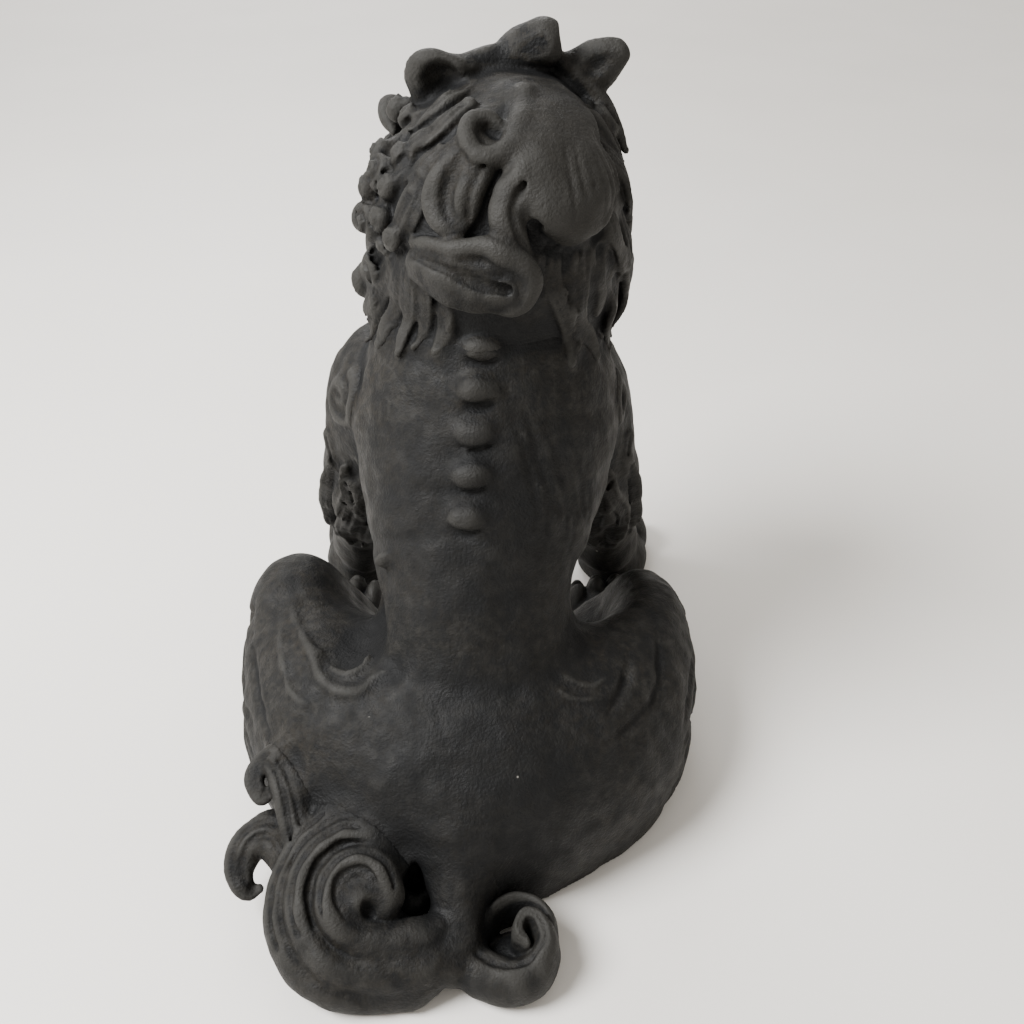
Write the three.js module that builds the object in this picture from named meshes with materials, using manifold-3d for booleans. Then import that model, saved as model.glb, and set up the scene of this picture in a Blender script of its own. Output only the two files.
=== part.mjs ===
// Seated guardian lion in cast iron, cast in sections and bolted together from inside the hollow body.
// Millimetres, +Z up. The lion faces -Y and its own left is +X; its head is turned to its left.
import * as THREE from "three";
import { mergeVertices } from "three/addons/utils/BufferGeometryUtils.js";
import Module from "manifold-3d";

const wasm = await Module();
wasm.setup();

// Castings
const WALL = 6;
const GAP = 0.3;
const LEFT = 1;
const RIGHT = -1;

// Trunk: sections from the pelvis up, as half sizes, with their heights as shares of the neck seat
const NECK_SEAT_Z = 170;
const PELVIS = { x: 1, y: 32, rise: 0.06, wide: 46, deep: 48 };
const WAIST = { x: 1, y: 19, rise: 0.48, wide: 33, deep: 34 };
const CHEST = { x: -3, y: -13, rise: 0.74, wide: 45, deep: 42 };
const NECK = { x: -6, y: -24, rise: 1.03, wide: 28, deep: 30 };
const NECK_PLATE = 9;
const SPIGOT_RADIUS = 13;

// Rump and thighs, set over towards the lion's left
const HAUNCH_SHIFT = 4;
const RUMP = { y: 40, z: 18, wide: 55, deep: 47, tall: 54 };
const HIP = { x: 36, y: 35, z: 16, wide: 41, tall: 52 };
const KNEE = { x: 56, y: -4, z: 18, wide: 27, tall: 46 };
const KNEE_LEAN = 0.35;

// Row of bosses down the spine, with heights as shares of the neck seat
const BOSS_COUNT = 5;
const BOSS_RADIUS = 5;
const BOSS_TOP = 0.98;
const BOSS_LOW = 0.74;
const BOSS_ASIDE = 4;

// Locks of the mane that hang on the breast: distance from the middle, length and half width
const BIB_LOCKS = [
  { across: 0, long: 46, wide: 7 },
  { across: 0.32, long: 38, wide: 7 },
  { across: 0.62, long: 30, wide: 6 },
];

// Forelegs and paws
const SHOULDER = { inset: 8, y: -36, rise: 0.72, wide: 27, deep: 18, bolt: 9 };
const ELBOW = { x: 46, y: -47, z: 84, wide: 19, deep: 15 };
const WRIST = { x: 54, y: -78, z: 30, wide: 14, deep: 13 };
const FOREPAW = { x: 60, y: -95, wide: 16, long: 20, tall: 20 };
const HINDPAW = { outset: 2, y: -40, wide: 17, long: 24, tall: 22 };
const TOE_COUNT = 4;
const TOE_LONG = 11;
const TUFT_COUNT = 3;
const TUFT_LONG = 16;
const TUFT_WIDE = 6;
const SHOULDER_CURL = 8;

// Head: the mane about the neck, and the skull and face in a frame turned to the lion's left
const HEAD_LIFT = 21;
const HEAD_TURN = 35;
const MANE = { x: -3, wide: 38, deep: 39, tall: 42 };
const CAPE = { y: -9, z: -22, wide: 43, deep: 34, tall: 26 };
const FACE_BACK = { x: -7, y: -8 };
const SKULL = { at: [0, -12, 5], size: [36, 38, 40] };
const HEAD_CAVITY = { at: [0, -12, 2], size: [28, 31, 30] };

// Face forms on the middle line, then those that come in pairs: place and half sizes
const FACE_FORMS = [
  { at: [0, -45, -9], size: [27, 22, 17] },
  { at: [0, -42, -27], size: [21, 22, 9] },
  { at: [0, -65, 1], size: [11, 8, 8] },
  { at: [0, -48, 10], size: [9, 18, 8] },
];
const FACE_PAIRS = [
  { at: [17, -45, 11], size: [8, 8, 8] },
  { at: [12, -58, -13], size: [13, 11, 10] },
  { at: [27, -30, -12], size: [13, 17, 18] },
];
const BROW = [[4, -51, 15], [16, -50, 24], [29, -38, 23], [38, -24, 14]];
const BROW_WIDE = 6;
const MOUTH = [[26, -42, -18], [15, -62, -22], [0, -70, -21]];
const MOUTH_DEPTH = 6;
const BEARD = { count: 3, at: [5, -55, -29], step: [7, 7, 1], fall: [3, 1, -16], wide: 5.5 };

// Ears and horn, in the face's frame: where they stand on the skull, how they lean and where their flats face
const EAR = { long: 17, thick: 4.5 };
const HORN = { long: 13, thick: 7 };
const TENON_RADIUS = 3.5;
const TENON_LONG = 7;
const CROWN_PIECES = [
  { name: "left_ear", wide: 11.5, over: [0.48, -0.03, 0.87], lean: [0.38, -0.1, 0.92], faces: [0.6, 0.6, 0.5] },
  { name: "right_ear", wide: 8.5, over: [-0.5, 0.28, 0.82], lean: [-0.6, 0.5, 0.6], faces: [0.7, 0.4, 0.6] },
  { name: "horn", wide: 9, over: [0, 0.12, 0.99], lean: [-0.4, 0.4, 0.8], faces: [0.6, 0.75, 0.3] },
];

// Locks of the mane that wind into a whorl. Places are degrees round from straight behind towards
// the lion's left, and degrees up; turn is 1 for a whorl seen winding anticlockwise, -1 for clockwise.
const CURLS = [
  { root: [-50, 78], eye: [-4, 63], radius: 6.5, wide: 4, turn: -1 },
  { root: [-62, 74], eye: [-42, 31], radius: 11, wide: 9, turn: -1 },
  { root: [40, 8], eye: [-3, -1], radius: 7.5, wide: 6.5, turn: -1 },
  { root: [66, 66], eye: [84, 49], radius: 5.5, wide: 4.5, turn: 1 },
  { root: [48, 58], eye: [62, 39], radius: 5.5, wide: 4.5, turn: 1 },
  { root: [58, 38], eye: [72, 22], radius: 5.5, wide: 4.5, turn: 1 },
  { root: [104, 40], eye: [94, 22], radius: 6, wide: 5, turn: 1 },
  { root: [40, 30], eye: [48, 14], radius: 5, wide: 4, turn: 1 },
  { root: [58, 4], eye: [88, -20], radius: 6, wide: 5, turn: 1 },
  { root: [-96, 60], eye: [-112, 38], radius: 8, wide: 5.5, turn: -1 },
  { root: [-108, 10], eye: [-120, -12], radius: 8, wide: 5.5, turn: -1 },
];

// Locks that hang and end in a point: root, bend and tip in the same degrees
const STRANDS = [
  { over: [[24, 52], [27, 34], [15, 17]], wide: 7 },
  { over: [[9, 50], [10, 34], [11, 22]], wide: 4.5 },
  { over: [[-18, 48], [-9, 31], [-9, 11]], wide: 5.5 },
  { over: [[30, 74], [42, 60], [60, 45]], wide: 4.5 },
  { over: [[16, 60], [28, 50], [46, 36]], wide: 4.5 },
  { over: [[48, 7], [70, -18], [80, -44]], wide: 5.5 },
  { over: [[47, 7], [54, -18], [62, -46]], wide: 5.5 },
  { over: [[44, 7], [40, -18], [46, -46]], wide: 5 },
  { over: [[-98, 64], [-102, 38], [-92, 12]], wide: 6 },
  { over: [[-74, 44], [-80, 16], [-78, -8]], wide: 5.5 },
  { over: [[-30, 8], [-30, -18], [-40, -46]], wide: 5.5 },
  { over: [[-46, 9], [-50, -20], [-62, -52]], wide: 6 },
  { over: [[-64, 8], [-70, -20], [-76, -50]], wide: 6 },
  { over: [[-84, 6], [-90, -20], [-88, -48]], wide: 6 },
];
const LOCK_HEIGHT = 0.85;

// Tail, from its root on the rump: a stem that parts into the plume and a scroll. The plume's strands wind
// together into a whorl that leans back on the rump, and two locks hook off it.
const TAIL_ROOT = { x: 3, sink: 4, z: 26 };
const TAIL_STEM = { path: [[0, -7, 36], [1, 6, 25], [2, 18, 16], [3, 35, 8]], radius: 8.5 };
const PLUME = { root: [3, 29], x: 31, y: 19, z: 22, tilt: 25, eye: 0.35, turns: 0.85, deep: 9, base: 24 };
const PLUME_STRANDS = [
  { radius: 7, lift: 4, wide: 4.5 },
  { radius: 15, lift: 2, wide: 5.2 },
  { radius: 22.5, lift: -1, wide: 4.2 },
  { radius: 28.5, lift: -5, wide: 3.6 },
];
const WHORL_TIGHTEN = 1.7;
const SCROLL = { root: [2, 27], x: -16, y: 28, radius: 11, eye: 2.5, wide: 4.4, tall: 11, turns: 1 };
const SCROLL_BACK = { radius: 13, from: 170, to: 320, wide: 2.8, tall: 15 };
const HOOKS = [
  { wide: 8, path: [[47, 11, 16], [57, 1, 22], [64, -4, 24], [71, -2, 23], [74, 5, 18], [70, 10, 14]] },
  { wide: 6, path: [[51, 7, 18], [55, -1, 30], [60, -13, 41], [67, -19, 43], [70, -14, 40], [66, -10, 37]] },
];
const DOWEL = { at: [-4, 32, 7], way: [-0.76, 0.65, 0], radius: 2, long: 12 };

// Fixings: a stud in each cast piece, drawn up by a washer and square nut inside the hollow
const STUD_RADIUS = 3;
const STUD_ENGAGE = 6;
const STUD_TAIL = 3;
const WASHER_RADIUS = 8;
const WASHER_THICK = 1.6;
const NUT_ACROSS = 10;
const NUT_THICK = 5;
const SEAT_RADIUS = 9;
const SEAT_DEPTH = 13;
const HIND_SEAT_Z = 14;

const iron = new THREE.MeshStandardMaterial({ color: 0x33322f, roughness: 0.72, metalness: 0.55 });
const steel = new THREE.MeshStandardMaterial({ color: 0x55534f, roughness: 0.5, metalness: 0.9 });

const vec = (x, y, z) => new THREE.Vector3(x, y, z);
const mirrored = (p, side) => vec(side * p.x, p.y, p.z);
const radians = THREE.MathUtils.degToRad;
const upright = () => vec(0, 0, 1);
const backwards = () => vec(0, 1, 0);

// Solids from three.js geometry, and back

function solid(geometry, matrix = new THREE.Matrix4()) {
  const bare = geometry.clone().applyMatrix4(matrix);
  bare.deleteAttribute("normal");
  bare.deleteAttribute("uv");
  const merged = mergeVertices(bare, 1e-4);
  return new wasm.Manifold(
    new wasm.Mesh({
      numProp: 3,
      vertProperties: merged.attributes.position.array,
      triVerts: new Uint32Array(merged.index.array),
    }),
  );
}

function geometryOf(made) {
  const { vertProperties, triVerts } = made.getMesh();
  return new THREE.BufferGeometry()
    .setAttribute("position", new THREE.BufferAttribute(vertProperties, 3))
    .setIndex(new THREE.BufferAttribute(triVerts, 1));
}

const join = (...solids) => solids.flat().reduce((whole, next) => whole.add(next));

function node(name, made, material) {
  const geometry = geometryOf(made);
  geometry.computeVertexNormals();
  const mesh = new THREE.Mesh(geometry, material);
  mesh.name = name;
  return mesh;
}

// Plain forms

function ellipsoid(centre, size, segments = 12, turn = new THREE.Euler()) {
  const place = new THREE.Matrix4().compose(centre, new THREE.Quaternion().setFromEuler(turn), size);
  return solid(new THREE.SphereGeometry(1, segments, Math.round(segments * 0.6)), place);
}

function bar(from, to, radius, sides = 8) {
  const along = to.clone().sub(from);
  const turn = new THREE.Quaternion().setFromUnitVectors(vec(0, 1, 0), along.clone().normalize());
  const middle = from.clone().add(to).multiplyScalar(0.5);
  const place = new THREE.Matrix4().compose(middle, turn, vec(1, 1, 1));
  return solid(new THREE.CylinderGeometry(radius, radius, along.length(), sides), place);
}

function block(low, high) {
  const size = high.clone().sub(low);
  const middle = low.clone().add(high).multiplyScalar(0.5);
  return solid(new THREE.BoxGeometry(size.x, size.y, size.z).translate(middle.x, middle.y, middle.z));
}

// A closed body of elliptical rings along a smooth curve through the points, with rounded ends.
// wide and deep give the half sizes as the curve passes its points in turn; deep lies along facing.
function sweep(points, wide, deep, facing, { sides = 5, steps = 5, caps = 2, grow = 0, blunt = 1 } = {}) {
  const curve = new THREE.CatmullRomCurve3(points, false, "centripetal");
  const length = curve.getLength();
  const startCap = Math.min(blunt * wide(0), length * 0.4);
  const endCap = Math.min(blunt * wide(1), length * 0.4);
  const capShares = Array.from({ length: caps }, (_, i) => ((i + 0.6) / (caps - 0.4)) ** 2);
  const stations = capShares.map((share) => startCap * share);
  for (let i = 1; i < steps; i++) {
    stations.push(startCap + ((length - startCap - endCap) * i) / steps);
  }
  stations.push(...capShares.toReversed().map((share) => length - endCap * share));
  const rounding = (distance, cap) => Math.sqrt(1 - (1 - Math.min(1, distance / cap)) ** 2);
  const positions = curve.getPoint(0).addScaledVector(curve.getTangent(0), -grow).toArray();
  for (const station of stations) {
    const share = curve.getUtoTmapping(station / length);
    const centre = curve.getPoint(share);
    const along = curve.getTangent(share);
    const out = facing(centre).clone();
    out.addScaledVector(along, -out.dot(along)).normalize();
    const across = out.clone().cross(along);
    const round = rounding(station, startCap) * rounding(length - station, endCap);
    for (let j = 0; j < sides; j++) {
      const angle = (2 * Math.PI * j) / sides;
      const point = centre
        .clone()
        .addScaledVector(across, (wide(share) * round + grow) * Math.cos(angle))
        .addScaledVector(out, (deep(share) * round + grow) * Math.sin(angle));
      positions.push(...point.toArray());
    }
  }
  positions.push(...curve.getPoint(1).addScaledVector(curve.getTangent(1), grow).toArray());
  const rings = stations.length;
  const at = (ring, j) => 1 + ring * sides + (j % sides);
  const tip = 1 + rings * sides;
  const index = [];
  for (let j = 0; j < sides; j++) {
    index.push(0, at(0, j + 1), at(0, j));
    index.push(tip, at(rings - 1, j), at(rings - 1, j + 1));
    for (let ring = 0; ring + 1 < rings; ring++) {
      index.push(at(ring, j), at(ring, j + 1), at(ring + 1, j + 1));
      index.push(at(ring, j), at(ring + 1, j + 1), at(ring + 1, j));
    }
  }
  const geometry = new THREE.BufferGeometry();
  geometry.setAttribute("position", new THREE.Float32BufferAttribute(positions, 3));
  geometry.setIndex(index);
  return solid(geometry);
}

// A value that passes smoothly through evenly spaced stops as the share goes from 0 to 1
function profile(...stops) {
  const curve = new THREE.CatmullRomCurve3(stops.map((value, i) => vec(i, value, 0)));
  return (share) => curve.getPoint(share).y;
}

// Offsets of a lock that runs from its root, meets a circle about the origin and winds into the eye
function whorl(rootAcross, rootUp, radius, eye, turns, turn, steps) {
  const reach = Math.max(Math.hypot(rootAcross, rootUp), radius * 1.01);
  const touch = Math.atan2(rootUp, rootAcross) + turn * Math.acos(radius / reach);
  const offsets = [new THREE.Vector2(rootAcross, rootUp)];
  for (let i = 0; i <= steps; i++) {
    const share = i / steps;
    const angle = touch + turn * share * turns * 2 * Math.PI;
    const distance = radius + (eye - radius) * share ** WHORL_TIGHTEN;
    offsets.push(new THREE.Vector2(Math.cos(angle), Math.sin(angle)).multiplyScalar(distance));
  }
  return offsets;
}

const FAR = 400;
const floorBlock = block(vec(-FAR, -FAR, -FAR), vec(FAR, FAR, 0));
const flatFooted = (made) => made.subtract(floorBlock);
const blockAbove = (z) => block(vec(-FAR, -FAR, z), vec(FAR, FAR, FAR));

// Body casting: trunk, rump and thighs, hollow and open underneath

const sections = [
  { ...PELVIS, rise: PELVIS.rise - PELVIS.deep / NECK_SEAT_Z },
  PELVIS,
  WAIST,
  CHEST,
  NECK,
  { ...NECK, rise: NECK.rise + NECK.deep / NECK_SEAT_Z },
];
const spine = sections.map((s) => vec(s.x, s.y, s.rise * NECK_SEAT_Z));
const trunkWide = profile(...sections.map((s) => s.wide));
const trunkDeep = profile(...sections.map((s) => s.deep));
const trunkForm = (grow, sides) => sweep(spine, trunkWide, trunkDeep, backwards, { sides, steps: 9, grow });

function thighForm(side, grow, sides) {
  const shifted = (x, y, z) => vec(HAUNCH_SHIFT + side * x, y, z);
  const path = [
    shifted(HIP.x * 0.3, HIP.y + HIP.wide * 0.85, HIP.z),
    shifted(HIP.x, HIP.y, HIP.z),
    shifted((HIP.x + KNEE.x) / 2 + 4, (HIP.y + KNEE.y) / 2, (HIP.z + KNEE.z) / 2),
    shifted(KNEE.x, KNEE.y, KNEE.z),
    shifted(KNEE.x, KNEE.y - KNEE.wide, KNEE.z),
  ];
  const wide = profile(HIP.wide, HIP.wide, KNEE.wide, KNEE.wide);
  const deep = profile(HIP.tall, HIP.tall, KNEE.tall, KNEE.tall);
  return sweep(path, wide, deep, () => vec(side * KNEE_LEAN, 0, 1), { sides, steps: 6, caps: 3, grow });
}

function bodyForm(grow, sides) {
  const size = vec(RUMP.wide + grow, RUMP.deep + grow, RUMP.tall + grow);
  const rump = ellipsoid(vec(HAUNCH_SHIFT / 2, RUMP.y, RUMP.z), size, sides);
  return join(trunkForm(grow, sides), rump, thighForm(LEFT, grow, sides), thighForm(RIGHT, grow, sides));
}

const bodyOuter = flatFooted(bodyForm(0, 14).subtract(blockAbove(NECK_SEAT_Z)));
const bodyHollow = bodyForm(-WALL, 8).subtract(blockAbove(NECK_SEAT_Z - NECK_PLATE));

// The middle of the back (way = 1) or of the breast (way = -1) at a height
function midline(z, way) {
  const curve = new THREE.CatmullRomCurve3(spine, false, "centripetal");
  const samples = Array.from({ length: 101 }, (_, i) => {
    const along = curve.getTangent(i / 100);
    const out = vec(0, way, 0).addScaledVector(along, -way * along.y).normalize();
    return curve.getPoint(i / 100).addScaledVector(out, trunkDeep(i / 100));
  });
  return samples.reduce((best, p) => (Math.abs(p.z - z) < Math.abs(best.z - z) ? p : best));
}

function spineBosses(grow) {
  return Array.from({ length: BOSS_COUNT }, (_, i) => {
    const rise = BOSS_TOP + ((BOSS_LOW - BOSS_TOP) * i) / (BOSS_COUNT - 1);
    const middle = midline(rise * NECK_SEAT_Z, 1).add(vec(BOSS_ASIDE, 0, 0));
    return ellipsoid(middle, vec(1, 1, 1).multiplyScalar(BOSS_RADIUS + grow), 7);
  });
}

function bibLocks(grow) {
  return [LEFT, RIGHT].flatMap((side) =>
    BIB_LOCKS.filter((lock) => lock.across || side === LEFT).map(({ across, long, wide }) => {
      const path = [0, 0.5, 1].map((share) => {
        const middle = midline(NECK_SEAT_Z - wide - long * share, -1);
        const round = Math.sqrt(1 - across * across) - 1;
        const bend = side * (2 + across * 4) * Math.sin(share * Math.PI);
        const aside = side * across * CHEST.wide * (0.7 + 0.2 * share) + bend;
        return middle.add(vec(aside, -round * CHEST.deep, 0));
      });
      const half = profile(wide, wide, wide * 0.3);
      return sweep(path, half, half, backwards, { steps: 3, caps: 1, grow });
    }),
  );
}

// What the pieces fitted to the body are cut back by, so that they stand a gap off it
const bodyGrown = join(bodyForm(GAP, 14), spineBosses(GAP), bibLocks(GAP));
const bodyClear = bodyGrown.subtract(blockAbove(NECK_SEAT_Z + GAP));

// Fixings. Each draws up on a flat seat inside the hollow; inward points from the seat into the hollow.

const sideName = (side) => (side === LEFT ? "left" : "right");
const shoulderZ = SHOULDER.rise * NECK_SEAT_Z;
const kneeFront = KNEE.y - KNEE.wide;

const fixings = [
  {
    name: "neck",
    seat: vec(NECK.x, NECK.y, NECK_SEAT_Z - NECK_PLATE),
    inward: vec(0, 0, -1),
    depth: NECK_PLATE,
  },
  {
    name: "tail",
    seat: vec(TAIL_ROOT.x, RUMP.y + RUMP.deep - SEAT_DEPTH, TAIL_ROOT.z - TAIL_STEM.radius / 2),
    inward: vec(0, -1, 0),
    depth: SEAT_DEPTH,
  },
  ...[LEFT, RIGHT].flatMap((side) => [
    {
      name: sideName(side) + "_foreleg",
      seat: vec(CHEST.x + side * (CHEST.wide - WALL - SEAT_DEPTH), SHOULDER.y + SHOULDER.bolt, shoulderZ),
      inward: vec(-side, 0, 0),
      depth: SEAT_DEPTH + WALL / 2,
    },
    {
      name: sideName(side) + "_hind_paw",
      seat: vec(HAUNCH_SHIFT + side * (KNEE.x + HINDPAW.outset), kneeFront + SEAT_DEPTH, HIND_SEAT_Z),
      inward: vec(0, 1, 0),
      depth: SEAT_DEPTH,
    },
  ]),
];

const fixingOf = (name) => fixings.find((fixing) => fixing.name === name);
const pointOn = (fixing, depth) => fixing.seat.clone().addScaledVector(fixing.inward, depth);

function studBar({ depth, ...fixing }, grow) {
  const tail = GAP + WASHER_THICK + GAP + NUT_THICK + STUD_TAIL;
  const from = pointOn(fixing, -depth - STUD_ENGAGE - grow);
  return bar(from, pointOn(fixing, tail + grow), STUD_RADIUS + grow);
}

function fixingNodes(fixing) {
  const washerAt = GAP;
  const nutAt = washerAt + WASHER_THICK + GAP;
  const washerTop = pointOn(fixing, washerAt + WASHER_THICK);
  const washer = bar(pointOn(fixing, washerAt), washerTop, WASHER_RADIUS, 12);
  const nut = bar(pointOn(fixing, nutAt), pointOn(fixing, nutAt + NUT_THICK), NUT_ACROSS / Math.SQRT2, 4);
  const hole = studBar(fixing, GAP);
  return [
    node(fixing.name + "_stud", studBar(fixing, 0), steel),
    node(fixing.name + "_washer", washer.subtract(hole), steel),
    node(fixing.name + "_nut", nut.subtract(hole), steel),
  ];
}

function bodyCasting() {
  const shell = bodyOuter.subtract(bodyHollow);
  const relief = join(bibLocks(0), spineBosses(0)).subtract(bodyHollow);
  const outside = join(shell, relief);
  const seats = fixings
    .filter((fixing) => fixing.name !== "neck")
    .map((fixing) => bar(pointOn(fixing, -fixing.depth), fixing.seat, SEAT_RADIUS).intersect(bodyOuter));
  const boreFoot = vec(NECK.x, NECK.y, NECK_SEAT_Z - 2 * NECK_PLATE);
  const neckBore = bar(boreFoot, vec(NECK.x, NECK.y, NECK_SEAT_Z + 1), SPIGOT_RADIUS + GAP, 14);
  const bores = fixings.map((fixing) => studBar(fixing, GAP));
  return join(outside, ...seats).subtract(join(neckBore, ...bores)).subtract(blockAbove(NECK_SEAT_Z));
}

// Forelegs, cast with their paws and saddled onto the sides of the chest

function pawForm(centre, form) {
  const pad = ellipsoid(centre, vec(form.wide, form.long, form.tall * 0.6), 10);
  const toes = Array.from({ length: TOE_COUNT }, (_, i) => {
    const across = (2 * i) / (TOE_COUNT - 1) - 1;
    const ahead = form.long * (0.85 - 0.16 * across * across);
    const spot = centre.clone().add(vec(across * form.wide * 0.74, -ahead, 0));
    return ellipsoid(spot, vec(form.wide * 0.32, TOE_LONG, form.tall * 0.52), 6);
  });
  return join(pad, ...toes);
}

function foreleg(side) {
  const shoulder = vec(side * (CHEST.wide - SHOULDER.inset), SHOULDER.y, shoulderZ);
  const elbow = mirrored(ELBOW, side);
  const wrist = mirrored(WRIST, side);
  const pawCentre = vec(side * FOREPAW.x, FOREPAW.y, FOREPAW.tall * 0.25);
  const path = [shoulder.clone().add(vec(-side * 4, 4, SHOULDER.wide)), shoulder, elbow, wrist, pawCentre];
  const wide = profile(SHOULDER.wide, SHOULDER.wide, ELBOW.wide, WRIST.wide, WRIST.wide);
  const deep = profile(SHOULDER.deep, SHOULDER.deep, ELBOW.deep, WRIST.deep, WRIST.deep);
  const leg = sweep(path, wide, deep, () => vec(side, 0, 0), { sides: 10, steps: 7, blunt: 0.8 });
  const tufts = Array.from({ length: TUFT_COUNT }, (_, i) => {
    const root = vec().lerpVectors(elbow, wrist, i / TUFT_COUNT).add(vec(0, ELBOW.wide * 0.6, 2));
    const bend = root.clone().add(vec(side, TUFT_LONG * 0.45, -TUFT_LONG * 0.35));
    const tip = root.clone().add(vec(side, TUFT_LONG * 0.6, -TUFT_LONG * 0.9));
    const half = profile(TUFT_WIDE, TUFT_WIDE, TUFT_WIDE * 0.3);
    return sweep([root, bend, tip], half, (share) => half(share) * 0.7, backwards, { steps: 3, caps: 1 });
  });
  const curl = whorl(SHOULDER_CURL * 1.5, SHOULDER_CURL * 2, SHOULDER_CURL, SHOULDER_CURL * 0.3, 1.1, 1, 7);
  const curlPath = curl.map((o) => shoulder.clone().add(vec(side * SHOULDER.deep * 0.82, o.x, o.y - 4)));
  const half = profile(SHOULDER_CURL * 0.6, SHOULDER_CURL * 0.6, SHOULDER_CURL * 0.4);
  const low = (share) => half(share) * 0.7;
  const shoulderCurl = sweep(curlPath, half, low, () => vec(side, 0, 0), { steps: 8, caps: 1 });
  const whole = join(leg, shoulderCurl, pawForm(pawCentre, FOREPAW), ...tufts);
  return flatFooted(whole).subtract(join(bodyClear, studBar(fixingOf(sideName(side) + "_foreleg"), GAP)));
}

function hindPaw(side) {
  const centre = vec(HAUNCH_SHIFT + side * (KNEE.x + HINDPAW.outset), HINDPAW.y, HINDPAW.tall * 0.25);
  const shankSize = vec(HINDPAW.wide * 0.85, HINDPAW.long * 0.75, HINDPAW.tall * 0.7);
  const shankCentre = centre.clone().add(vec(0, HINDPAW.long * 0.4, HINDPAW.tall * 0.3));
  const shank = ellipsoid(shankCentre, shankSize, 10);
  const whole = flatFooted(join(pawForm(centre, HINDPAW), shank));
  return whole.subtract(join(bodyClear, studBar(fixingOf(sideName(side) + "_hind_paw"), GAP)));
}

// Head casting: skull, mane and turned face over a hollow that opens through the spigot

const maneCentre = vec(NECK.x + MANE.x, NECK.y, NECK_SEAT_Z + HEAD_LIFT);
const faceTurn = new THREE.Euler(0, 0, radians(HEAD_TURN));
const faceOrigin = maneCentre.clone().add(vec(FACE_BACK.x, FACE_BACK.y, 0));
const inFace = ([x, y, z], side = LEFT) => vec(side * x, y, z).applyEuler(faceTurn).add(faceOrigin);
const outOfFace = () => vec(0, -1, 0).applyEuler(faceTurn);
const maneSize = vec(MANE.wide, MANE.deep, MANE.tall);
const skullCentre = inFace(SKULL.at);
const skullSize = vec(...SKULL.size);
const grown = (size, grow) => size.clone().addScalar(grow);
const skullForm = (grow) => ellipsoid(skullCentre, grown(skullSize, grow), 12, faceTurn);
const maneForm = (grow) => ellipsoid(maneCentre, grown(maneSize, grow), 12);
const capeCentre = maneCentre.clone().add(vec(0, CAPE.y, CAPE.z));
const capeSize = vec(CAPE.wide, CAPE.deep, CAPE.tall);
const capeForm = () => ellipsoid(capeCentre, capeSize, 9);

// How far a ray from a point runs before it leaves an ellipsoid turned about the upright
function leaving(from, way, centre, size, turn) {
  const back = new THREE.Euler(0, 0, -turn);
  const start = from.clone().sub(centre).applyEuler(back).divide(size);
  const step = way.clone().applyEuler(back).divide(size);
  const half = start.dot(step) / step.lengthSq();
  const rest = half * half - (start.lengthSq() - 1) / step.lengthSq();
  return rest > 0 ? -half + Math.sqrt(rest) : 0;
}

// A point on the outside of the head, by degrees round from straight behind and degrees up
function onHead(round, up, lift) {
  const a = radians(round);
  const e = radians(up);
  const way = vec(Math.sin(a) * Math.cos(e), Math.cos(a) * Math.cos(e), Math.sin(e));
  const mane = leaving(maneCentre, way, maneCentre, maneSize, 0);
  const cape = leaving(maneCentre, way, capeCentre, capeSize, 0);
  const skull = leaving(maneCentre, way, skullCentre, skullSize, radians(HEAD_TURN));
  return maneCentre.clone().addScaledVector(way, Math.max(mane, cape, skull) + lift);
}

const offHead = (point) => point.clone().sub(maneCentre).normalize();

function curlForm({ root, eye, radius, wide, turn }) {
  const upPerMm = 180 / Math.PI / MANE.tall;
  const roundPerMm = upPerMm / Math.cos(radians(eye[1]));
  const rootAcross = -(root[0] - eye[0]) / roundPerMm;
  const rootUp = (root[1] - eye[1]) / upPerMm;
  const offsets = whorl(rootAcross, rootUp, radius, radius * 0.25, 1.15, turn, 6);
  const path = offsets.map((o) => onHead(eye[0] - o.x * roundPerMm, eye[1] + o.y * upPerMm, wide * 0.2));
  const half = profile(wide * 0.8, wide, wide * 0.9, wide * 0.7, wide * 0.5);
  const steps = Math.max(5, Math.round(radius));
  return sweep(path, half, (share) => half(share) * LOCK_HEIGHT, offHead, { steps, caps: 1 });
}

function strandForm({ over, wide }) {
  const path = over.map(([round, up]) => onHead(round, up, wide * 0.2));
  const half = profile(wide, wide * 0.9, wide * 0.2);
  return sweep(path, half, (share) => half(share) * LOCK_HEIGHT, offHead, { steps: 3, caps: 1 });
}

function faceForm() {
  const single = FACE_FORMS.map(({ at, size }) => ellipsoid(inFace(at), vec(...size), 7, faceTurn));
  const paired = [LEFT, RIGHT].flatMap((side) => {
    const forms = FACE_PAIRS.map(({ at, size }) => ellipsoid(inFace(at, side), vec(...size), 6, faceTurn));
    const browHalf = profile(BROW_WIDE * 0.8, BROW_WIDE, BROW_WIDE * 0.5);
    const brow = sweep(BROW.map((p) => inFace(p, side)), browHalf, browHalf, outOfFace, { caps: 1 });
    const beard = Array.from({ length: BEARD.count }, (_, i) => {
      const root = BEARD.at.map((value, axis) => value + BEARD.step[axis] * i);
      const tip = root.map((value, axis) => value + BEARD.fall[axis]);
      const bend = root.map((value, axis) => (value + tip[axis]) / 2 - (axis === 1 ? BEARD.wide * 0.6 : 0));
      const half = profile(BEARD.wide, BEARD.wide, BEARD.wide * 0.3);
      const path = [root, bend, tip].map((p) => inFace(p, side));
      return sweep(path, half, half, outOfFace, { steps: 2, caps: 1 });
    });
    return [...forms, brow, ...beard];
  });
  const mouthPath = [
    ...MOUTH.map((p) => inFace(p, RIGHT)),
    ...MOUTH.slice(0, -1).toReversed().map((p) => inFace(p, LEFT)),
  ];
  const mouth = sweep(mouthPath, () => 1.6, () => MOUTH_DEPTH, outOfFace, { sides: 4, steps: 5, caps: 1 });
  return join(...single, ...paired).subtract(mouth);
}

// Ears and horn: each stands on the skull with a round tenon in a socket

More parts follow.
